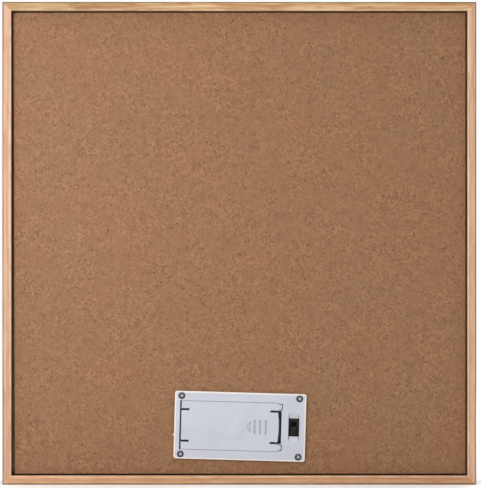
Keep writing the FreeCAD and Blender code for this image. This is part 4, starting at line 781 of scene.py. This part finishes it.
# %% resistor finish
def banded_resistor(name, node):
    material, tree, shader, here = new_material(name)
    low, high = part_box(node)
    ramp = put(tree, "ValToRGB", {"Fac": stretch(tree, axes(tree, here)["X"], low.x, high.x)})
    ramp.color_ramp.interpolation = "CONSTANT"
    body = rgb(170, 200, 206)
    steps = [(0.22, rgb(120, 62, 30)), (0.30, body), (0.38, rgb(30, 30, 30)), (0.46, body),
             (0.54, rgb(176, 40, 30)), (0.62, body), (0.72, rgb(184, 144, 60)), (0.80, body)]
    ramp.color_ramp.elements[0].color = body
    ramp.color_ramp.elements[1].position = steps[0][0]
    ramp.color_ramp.elements[1].color = steps[0][1]
    for position, colour in steps[1:]:
        ramp.color_ramp.elements.new(position).color = colour
    lumps = noise(tree, here, 900.0, 3.0)
    coat = tint(tree, times(tree, lumps, 0.25), ramp.outputs[0], rgb(96, 100, 100))
    connect(tree, shader, coat, stretch(tree, lumps, 0.3, 0.7, 0.24, 0.4), lumps, 0.03 * MM)
    return material


paint(banded_resistor("banded resistor coat", "lamp_resistor"), "lamp_resistor")

# %% [markdown]
# ## The movement's circuit board
# Green solder mask lies over copper tracks, which show as slightly raised, slightly lighter lines that run
# square. The edges between square cells give such lines without drawing a circuit.

# %% circuit board finish
def solder_mask(name):
    material, tree, shader, here = new_material(name)
    cells = {"Vector": here, "Scale": 620.0, "Randomness": 0.7}
    edges = put(tree, "TexVoronoi", cells, distance="CHEBYCHEV").outputs["Distance"]
    track = stretch(tree, edges, 0.40, 0.46)
    weave = noise(tree, here, 1800.0, 2.0)
    green = tint(tree, track, rgb(18, 84, 44), rgb(44, 124, 66))
    green = tint(tree, times(tree, weave, 0.3), green, rgb(14, 60, 34))
    connect(tree, shader, green, stretch(tree, weave, 0.3, 0.7, 0.22, 0.34), track, 0.03 * MM)
    return material


paint(solder_mask("green solder mask"), "circuit_board")

# %% [markdown]
# ## Rubber washer
# The washer behind the dial is matt black rubber, with a bloom that greys it in patches.

# %% rubber finish
def rubber(name):
    material, tree, shader, here = new_material(name)
    bloom = noise(tree, here, 260.0, 5.0)
    fine = noise(tree, here, 3600.0, 2.0)
    colour = tint(tree, stretch(tree, bloom, 0.45, 0.75), rgb(34, 33, 33), rgb(66, 64, 62))
    connect(tree, shader, colour, stretch(tree, fine, 0.3, 0.7, 0.7, 0.85), fine, 0.03 * MM)
    return material


paint(rubber("black rubber"), "movement_rubber_washer")

# %% [markdown]
# ## The two cells
# A cell is a steel can in a shrunk plastic jacket, open at both ends. The jacket here is plain blue with
# one pale ring near the plus end, and no print. A Mapping node of the texture kind undoes the cell's place
# and the box's turn, so that X runs along the cell from its middle, and steps along X then say where the
# jacket ends.

# %% cell finish
def cell_finish(name, node, plus_side):
    material, tree, shader, here = new_material(name)
    low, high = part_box(node)
    place = axes(tree, unplaced(tree, here, (low + high) / 2, BOX_TURN, (plus_side, 1.0, 1.0)))
    half = (high.x - low.x) / 2
    radial = put(tree, "CombineXYZ", {0: 0.0, 1: place["Y"], 2: place["Z"]}).outputs[0]
    out_from_axis = put(tree, "VectorMath", {0: radial}, operation="LENGTH").outputs["Value"]
    plus_end = stretch(tree, place["X"], half - 1.9 * MM, half - 2.0 * MM)
    minus_end = stretch(tree, place["X"], -half + 0.35 * MM, -half + 0.45 * MM)
    jacket = times(tree, plus_end, minus_end)
    jacket = times(tree, jacket, stretch(tree, out_from_axis, 6.0 * MM, 6.1 * MM))
    ring_start = stretch(tree, place["X"], half - 7.5 * MM, half - 7.4 * MM)
    ring_end = stretch(tree, place["X"], half - 6.0 * MM, half - 6.1 * MM)
    skin = noise(tree, here, 420.0, 4.0)
    film = tint(tree, times(tree, ring_start, ring_end), rgb(38, 62, 108), rgb(206, 208, 210))
    film = tint(tree, times(tree, stretch(tree, skin, 0.35, 0.75), 0.3), film, rgb(22, 34, 62))
    colour = tint(tree, jacket, rgb(190, 188, 184), film)
    relief = calc(tree, "MULTIPLY_ADD", skin, 0.2, jacket)
    connect(tree, shader, colour, calc(tree, "MULTIPLY_ADD", skin, 0.16, 0.18), relief, 0.06 * MM)
    bare = calc(tree, "SUBTRACT", 1.0, times(tree, jacket, 0.85))
    tree.links.new(bare, shader.inputs["Metallic"])
    return material


paint(cell_finish("cell jacket, plus to the right", "battery_cell_upper", 1.0), "battery_cell_upper")
paint(cell_finish("cell jacket, plus to the left", "battery_cell_lower", -1.0), "battery_cell_lower")

# %% [markdown]
# ## The hour lamps
# Each lamp is a 3 mm dome of milky epoxy, warm white when it's off. The epoxy lets some light through and
# scatters the rest, so the shader mixes transmission with a little light under the surface.

# %% lamp finish
def milky_epoxy(name):
    material, tree, shader, here = new_material(name)
    milk = noise(tree, here, 900.0, 3.0)
    colour = tint(tree, stretch(tree, milk, 0.3, 0.7), rgb(250, 240, 208), rgb(240, 222, 168))
    connect(tree, shader, colour, stretch(tree, milk, 0.3, 0.7, 0.10, 0.18))
    shader.inputs["Transmission Weight"].default_value = 0.35
    shader.inputs["IOR"].default_value = 1.5
    shader.inputs["Subsurface Weight"].default_value = 0.3
    shader.inputs["Subsurface Scale"].default_value = 1.0 * MM
    return material


paint(milky_epoxy("milky lamp epoxy"), "hour_lamps")

# %% [markdown]
# ## The hands
# The hands are thin aluminium blades under lacquer. Lacquer has a faint orange-peel texture and is thinnest
# on the edges, where the metal shows after years of handling.

# %% hand finish
def lacquer(name, colour, gloss, wear):
    material, tree, shader, here = new_material(name)
    peel = noise(tree, here, 1300.0, 2.0)
    cloud = noise(tree, here, 90.0, 5.0)
    worn = times(tree, edge_wear(tree, here, 0.22 * MM, 500.0), wear)
    lighter = lifted(tree, colour, (0.03, 0.03, 0.03, 1))
    painted = tint(tree, stretch(tree, cloud, 0.35, 0.75), colour, lighter)
    painted = tint(tree, dust(tree, here, 0.2), painted, rgb(170, 166, 160))
    painted = tint(tree, worn, painted, rgb(176, 174, 170))
    connect(tree, shader, painted, calc(tree, "MULTIPLY_ADD", cloud, 0.15, gloss), peel, 0.01 * MM)
    tree.links.new(worn, shader.inputs["Metallic"])
    return material


paint(lacquer("black lacquer on aluminium", rgb(28, 28, 29), 0.36, 0.5), "hour_hand", "minute_hand")
paint(lacquer("red lacquer on aluminium", rgb(186, 38, 28), 0.26, 0.4), "second_hand")

# %% [markdown]
# ## The dial's paint
# The dial is fibreboard sprayed matt, a warm off-white. Sprayed paint on board shows a fine, even stipple
# and very soft clouds, and it goes a little yellow towards the rim, where light and dust get at it.

# %% dial finish
def sprayed_board(name):
    material, tree, shader, here = new_material(name)
    stipple = noise(tree, here, 1700.0, 3.0)
    cloud = noise(tree, here, 16.0, 4.0)
    parts = axes(tree, here)
    flat = put(tree, "CombineXYZ", {0: parts["X"], 1: 0.0, 2: parts["Z"]}).outputs[0]
    rim = put(tree, "VectorMath", {0: flat}, operation="LENGTH").outputs["Value"]
    rim_tone = times(tree, stretch(tree, rim, 0.09, 0.2), stretch(tree, cloud, 0.25, 0.7, 0.4, 1.0))
    colour = tint(tree, rim_tone, rgb(238, 234, 222), rgb(224, 214, 190))
    speckled = tint(tree, stretch(tree, stipple, 0.62, 0.8, 0.0, 0.35), colour, rgb(204, 196, 176))
    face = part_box("dial_board")[0].y
    sides = stretch(tree, parts["Y"], face + 0.2 * MM, face + 0.5 * MM)
    colour = tint(tree, sides, speckled, rgb(168, 134, 100))
    connect(tree, shader, colour, stretch(tree, stipple, 0.3, 0.7, 0.50, 0.62), stipple, 0.03 * MM)
    shader.inputs["Specular IOR Level"].default_value = 0.4
    return material


paint(sprayed_board("matt off-white dial paint"), "dial_board")

# %% [markdown]
# ## Printed ink
# Screen-printed ink stands a few hundredths of a millimetre proud and its colour breaks up slightly over
# the paint's stipple. The dial's print is real geometry that thin, so it keeps its crisp edge in any view.

# %% ink finish and how a new piece joins the clock
def printed_ink(name, colour):
    material, tree, shader, here = new_material(name)
    pinholes = noise(tree, here, 2100.0, 2.0)
    patchy = noise(tree, here, 130.0, 4.0)
    thin = lifted(tree, colour, (0.05, 0.05, 0.045, 1))
    shown = tint(tree, stretch(tree, patchy, 0.4, 0.75), colour, thin)
    connect(tree, shader, shown, stretch(tree, pinholes, 0.3, 0.7, 0.38, 0.55), pinholes, 0.01 * MM)
    return material


def add_piece(name, mesh, material, body):
    """Puts a finished mesh into the clock, riding on a CAD body."""
    piece = bpy.data.objects.new(name, mesh)
    bpy.context.scene.collection.objects.link(piece)
    mesh.materials.clear()
    mesh.materials.append(material)
    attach(piece, body)
    print(name, len(mesh.polygons), "faces, rides on", body)


def to_mesh(shape, name, smooth=False):
    """Closes a bmesh into a mesh, with doubles merged and faces pointing outwards."""
    bmesh.ops.remove_doubles(shape, verts=shape.verts, dist=1e-7)
    bmesh.ops.recalc_face_normals(shape, faces=shape.faces)
    mesh = bpy.data.meshes.new(name)
    shape.to_mesh(mesh)
    shape.free()
    for face in mesh.polygons:
        face.use_smooth = smooth
    return mesh


black_ink = printed_ink("black printed ink", rgb(34, 33, 34))
grey_ink = printed_ink("grey printed ink", rgb(120, 116, 108))

# %% [markdown]
# ## The minute track
# Sixty strokes between the numerals and the lamps, every fifth one longer and heavier, and a fine circle on
# each side of them. One stroke is a cube drawn out to size and eased at its edges. A spin with duplicates
# makes the four light ones of an hour, and a second spin carries them round the dial, which is exact and
# quicker than placing sixty. The circles are a tiny rectangle spun once round. Each size below is a radius
# from the hands' axis, and then a stroke's length and width or a line's width.

# %% minute track
DIAL_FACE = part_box("dial_board")[0].y
INK = 0.05 * MM
DIAL_AXIS = Vector((0.0, 1.0, 0.0))
MINUTE = math.tau / 60
LIGHT_STROKE = (113.5 * MM, 3.6 * MM, 0.7 * MM)
HEAVY_STROKE = (112.9 * MM, 5.0 * MM, 1.7 * MM)
OUTER_CIRCLE = (115.8 * MM, 0.4 * MM)
INNER_CIRCLE = (109.8 * MM, 0.4 * MM)


def strokes(radius, length, width, first, run):
    """Strokes on the dial's face: a run of them a minute apart from minute first on, in every hour."""
    shape = bmesh.new()
    made = bmesh.ops.create_cube(shape, size=1.0)["verts"]
    bmesh.ops.scale(shape, verts=made, vec=(width, INK, length))
    bmesh.ops.bevel(shape, geom=shape.edges[:], offset=INK * 0.4, segments=1, profile=0.5, affect="EDGES",
                    material=-1)
    bmesh.ops.translate(shape, verts=shape.verts, vec=(0.0, DIAL_FACE - INK / 2, radius))
    turn = Matrix.Rotation(first * MINUTE, 3, DIAL_AXIS)
    bmesh.ops.rotate(shape, verts=shape.verts, cent=(0, 0, 0), matrix=turn)
    for copies, step in ((run - 1, MINUTE), (11, 5 * MINUTE)):
        if copies:
            bmesh.ops.spin(shape, geom=shape.verts[:] + shape.edges[:] + shape.faces[:], axis=DIAL_AXIS,
                           cent=(0, 0, 0), angle=step * copies, steps=copies, use_duplicate=True)
    return shape


def spun_line(radius, width, centre=(0.0, 0.0), steps=144):
    """A shape with one printed circle, as a thin rectangle spun round."""
    shape = bmesh.new()
    corners = [(radius + w, DIAL_FACE - h) for w, h in ((0, 0), (width, 0), (width, INK), (0, INK))]
    loop = [shape.verts.new((centre[0] + x, y, centre[1])) for x, y in corners]
    edges = [shape.edges.new(pair) for pair in zip(loop, loop[1:] + loop[:1])]
    bmesh.ops.spin(shape, geom=loop + edges, axis=DIAL_AXIS, cent=(centre[0], 0.0, centre[1]),
                   angle=math.tau, steps=steps, use_merge=True)
    return shape


def gather(shapes, name):
    """Several shapes as one mesh."""
    whole = bmesh.new()
    for shape in shapes:
        part = to_mesh(shape, name)
        whole.from_mesh(part)
        bpy.data.meshes.remove(part)
    return to_mesh(whole, name)


track = gather([
    strokes(*LIGHT_STROKE, first=1, run=4), strokes(*HEAVY_STROKE, first=0, run=1),
    spun_line(*OUTER_CIRCLE), spun_line(*INNER_CIRCLE),
], "dial_minute_track")
add_piece("dial_minute_track", track, black_ink, "case")

# %% [markdown]
# ## Rings printed round the lamps
# Each lamp stands in a hole, and a fine grey ring round it hides the hole's edge. The twelve places are the
# hours, as far from the hands' axis as the lamps are, which the CAD frame gives.

# %% lamp rings
LAMP_RADIUS = 122.0 * MM
lamp_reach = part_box("hour_lamps")[1].z - LAMP_RADIUS
lamp_turns = [math.tau * hour / 12 for hour in range(12)]
lamp_places = [(LAMP_RADIUS * math.sin(turn), LAMP_RADIUS * math.cos(turn)) for turn in lamp_turns]
circles = [spun_line(lamp_reach + 0.2 * MM, 0.45 * MM, place, steps=40) for place in lamp_places]
rings = gather(circles, "dial_lamp_rings")
add_piece("dial_lamp_rings", rings, grey_ink, "case")
print("lamp flange reaches", round(lamp_reach / MM, 2), "mm from its axis")

# %% [markdown]
# ## The numerals
# Twelve plain numerals stand upright inside the minute track. They start as text, because a font's outlines
# are better drawn than hand-placed points. Each is turned into a mesh before it is moved, then centred on
# its own outline, because a text's own origin isn't at its middle.

# %% numerals
def numeral(text, size):
    """A numeral's mesh, ink thick: centred on its outline, upright and facing the reader."""
    curve = bpy.data.curves.new("numeral", "FONT")
    curve.body = text
    curve.size = size
    curve.extrude = INK / 2
    curve.resolution_u = 6
    curve.space_character = 0.96
    holder = bpy.data.objects.new("numeral", curve)
    mesh = bpy.data.meshes.new_from_object(holder)
    bpy.data.objects.remove(holder)
    xs = [v.co.x for v in mesh.vertices]
    ys = [v.co.y for v in mesh.vertices]
    centre = Vector(((min(xs) + max(xs)) / 2, (min(ys) + max(ys)) / 2, 0.0))
    mesh.transform(Matrix.Rotation(math.pi / 2, 4, "X") @ Matrix.Translation(-centre))
    return mesh


NUMERAL_RADIUS = 94.5 * MM
NUMERAL_SIZE = 22.5 * MM
whole = bmesh.new()
for hour in range(1, 13):
    turn = math.tau * hour / 12
    digits = numeral(str(hour), NUMERAL_SIZE)
    across, up = NUMERAL_RADIUS * math.sin(turn), NUMERAL_RADIUS * math.cos(turn)
    digits.transform(Matrix.Translation((across, DIAL_FACE - INK / 2, up)))
    whole.from_mesh(digits)
    bpy.data.meshes.remove(digits)
add_piece("dial_numerals", to_mesh(whole, "dial_numerals"), black_ink, "case")

# %% [markdown]
# ## Solder on the lamps' legs
# Inside the case, each of the lamps' twenty-four legs is soldered to one of two ring wires. A solder joint
# is a small bright cone that has run down the leg. Each bead is an icosphere of a few dozen faces, drawn
# out along the leg.

# %% solder beads
LEG_RADIUS = 0.25 * MM
BEAD_RADIUS = 0.52 * MM
BEAD_LENGTH = 1.15


def solder_beads():
    shape = bmesh.new()
    legs_low, legs_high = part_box("hour_lamp_legs")
    outer = legs_high.x - LEG_RADIUS
    inner = 2 * LAMP_RADIUS - outer
    y = (legs_low.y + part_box("lamp_ring_wires")[1].y) / 2 - 0.2 * MM
    for turn in lamp_turns:
        for radius in (inner, outer):
            place = Matrix.Translation((radius * math.sin(turn), y, radius * math.cos(turn)))
            bead = bmesh.ops.create_icosphere(shape, subdivisions=2, radius=BEAD_RADIUS)["verts"]
            bmesh.ops.scale(shape, verts=bead, vec=(1.0, BEAD_LENGTH, 1.0))
            bmesh.ops.transform(shape, verts=bead, matrix=place)
    print("solder at radius", round(inner / MM, 2), "and", round(outer / MM, 2), "mm")
    return to_mesh(shape, "lamp_solder_beads", smooth=True)


solder = metal("soft solder", rgb(200, 202, 204), rgb(140, 140, 138), 0.3, 0.24)
add_piece("lamp_solder_beads", solder_beads(), solder, "case")

# %% [markdown]
# ## Floor
# The clock stands on its bottom edge on a plain pale sheet that runs to the horizon. The sheet isn't part
# of the clock.

# %% floor
FLOOR_REACH = 12.0
FLOOR_GAP = 0.02 * MM


def pale_floor():
    shape = bmesh.new()
    bmesh.ops.create_grid(shape, x_segments=2, y_segments=2, size=FLOOR_REACH)
    bmesh.ops.translate(shape, verts=shape.verts, vec=(0.0, 0.0, cad_low.z - FLOOR_GAP))
    floor = bpy.data.objects.new("floor", to_mesh(shape, "floor"))
    bpy.context.scene.collection.objects.link(floor)
    material, tree, shader, here = new_material("pale paper sheet")
    tooth = noise(tree, here, 300.0, 4.0)
    colour = tint(tree, tooth, rgb(246, 246, 245), rgb(252, 252, 251))
    connect(tree, shader, colour, stretch(tree, tooth, 0.3, 0.7, 0.75, 0.9))
    floor.data.materials.append(material)
    return floor


print("floor at", round(pale_floor().data.vertices[0].co.z / MM, 2), "mm")

# %% [markdown]
# ## Light
# The light is a plain soft studio: a surround that glows softly from overhead and lights the sheet below,
# and one key light on each side of the clock. A picture of a studio could light it too, but two lamps and a
# glow are easier to set. Each key is near, so it falls off across the clock, and almost square to it, so
# the sunk back has only a thin shadow.

# %% lights
def soft_light(name, place, aim, size, power, colour):
    lamp = bpy.data.lights.new(name, "AREA")
    lamp.shape = "DISK"
    lamp.size = size
    lamp.energy = power
    lamp.color = colour
    holder = bpy.data.objects.new(name, lamp)
    holder.location = place
    holder.rotation_euler = (Vector(aim) - Vector(place)).to_track_quat("-Z", "Y").to_euler()
    bpy.context.scene.collection.objects.link(holder)
    print(name, power, "W")


def surround(level, overhead, seen):
    """level is the glow at the horizon and below, overhead straight up, seen what shows behind."""
    world = bpy.data.worlds.new("surround")
    world.use_nodes = True
    tree = world.node_tree
    glow = next(n for n in tree.nodes if n.type == "BACKGROUND")
    glow.inputs["Color"].default_value = (0.985, 0.99, 0.985, 1)
    up = axes(tree, put(tree, "TexCoord").outputs["Generated"])["Z"]
    strength = stretch(tree, up, 0.30, 0.85, level, overhead)
    direct = put(tree, "LightPath").outputs["Is Camera Ray"]
    shown = put(tree, "Mix", {0: direct, 2: strength, 3: seen}).outputs[0]
    tree.links.new(shown, glow.inputs["Strength"])
    bpy.context.scene.world = world


surround(level=0.15, overhead=1.62, seen=0.985)
WARM = (1.0, 0.985, 0.96)
soft_light("key_back", (0.32, 0.48, 0.13), (0, 0, 0), 0.18, 1.6, WARM)
soft_light("key_dial", (-0.42, -0.80, 0.40), (0, 0, 0), 0.35, 2.5, WARM)

# %% [markdown]
# ## Camera
# The camera looks square at the back through a long lens, from the wall's side, so the frame shows almost
# no perspective. Its distance follows from the height that the view should hold.

# %% camera
VIEW_HEIGHT = 308.8 * MM
VIEW_CENTRE = (-0.73 * MM, -0.47 * MM)
camera = bpy.data.objects.new("camera", bpy.data.cameras.new("camera"))
camera.data.lens = 200.0
camera.data.sensor_width = 36.0
camera.data.clip_start = 0.05
distance = VIEW_HEIGHT / 2 / (camera.data.sensor_width / 2 / camera.data.lens)
camera.location = (VIEW_CENTRE[0], cad_high.y + distance, VIEW_CENTRE[1])
camera.rotation_euler = (math.pi / 2, 0.0, math.pi)
bpy.context.scene.collection.objects.link(camera)
bpy.context.scene.camera = camera
bpy.context.scene.view_settings.view_transform = "Standard"
print("camera", round(distance, 4), "m from the rear edge")
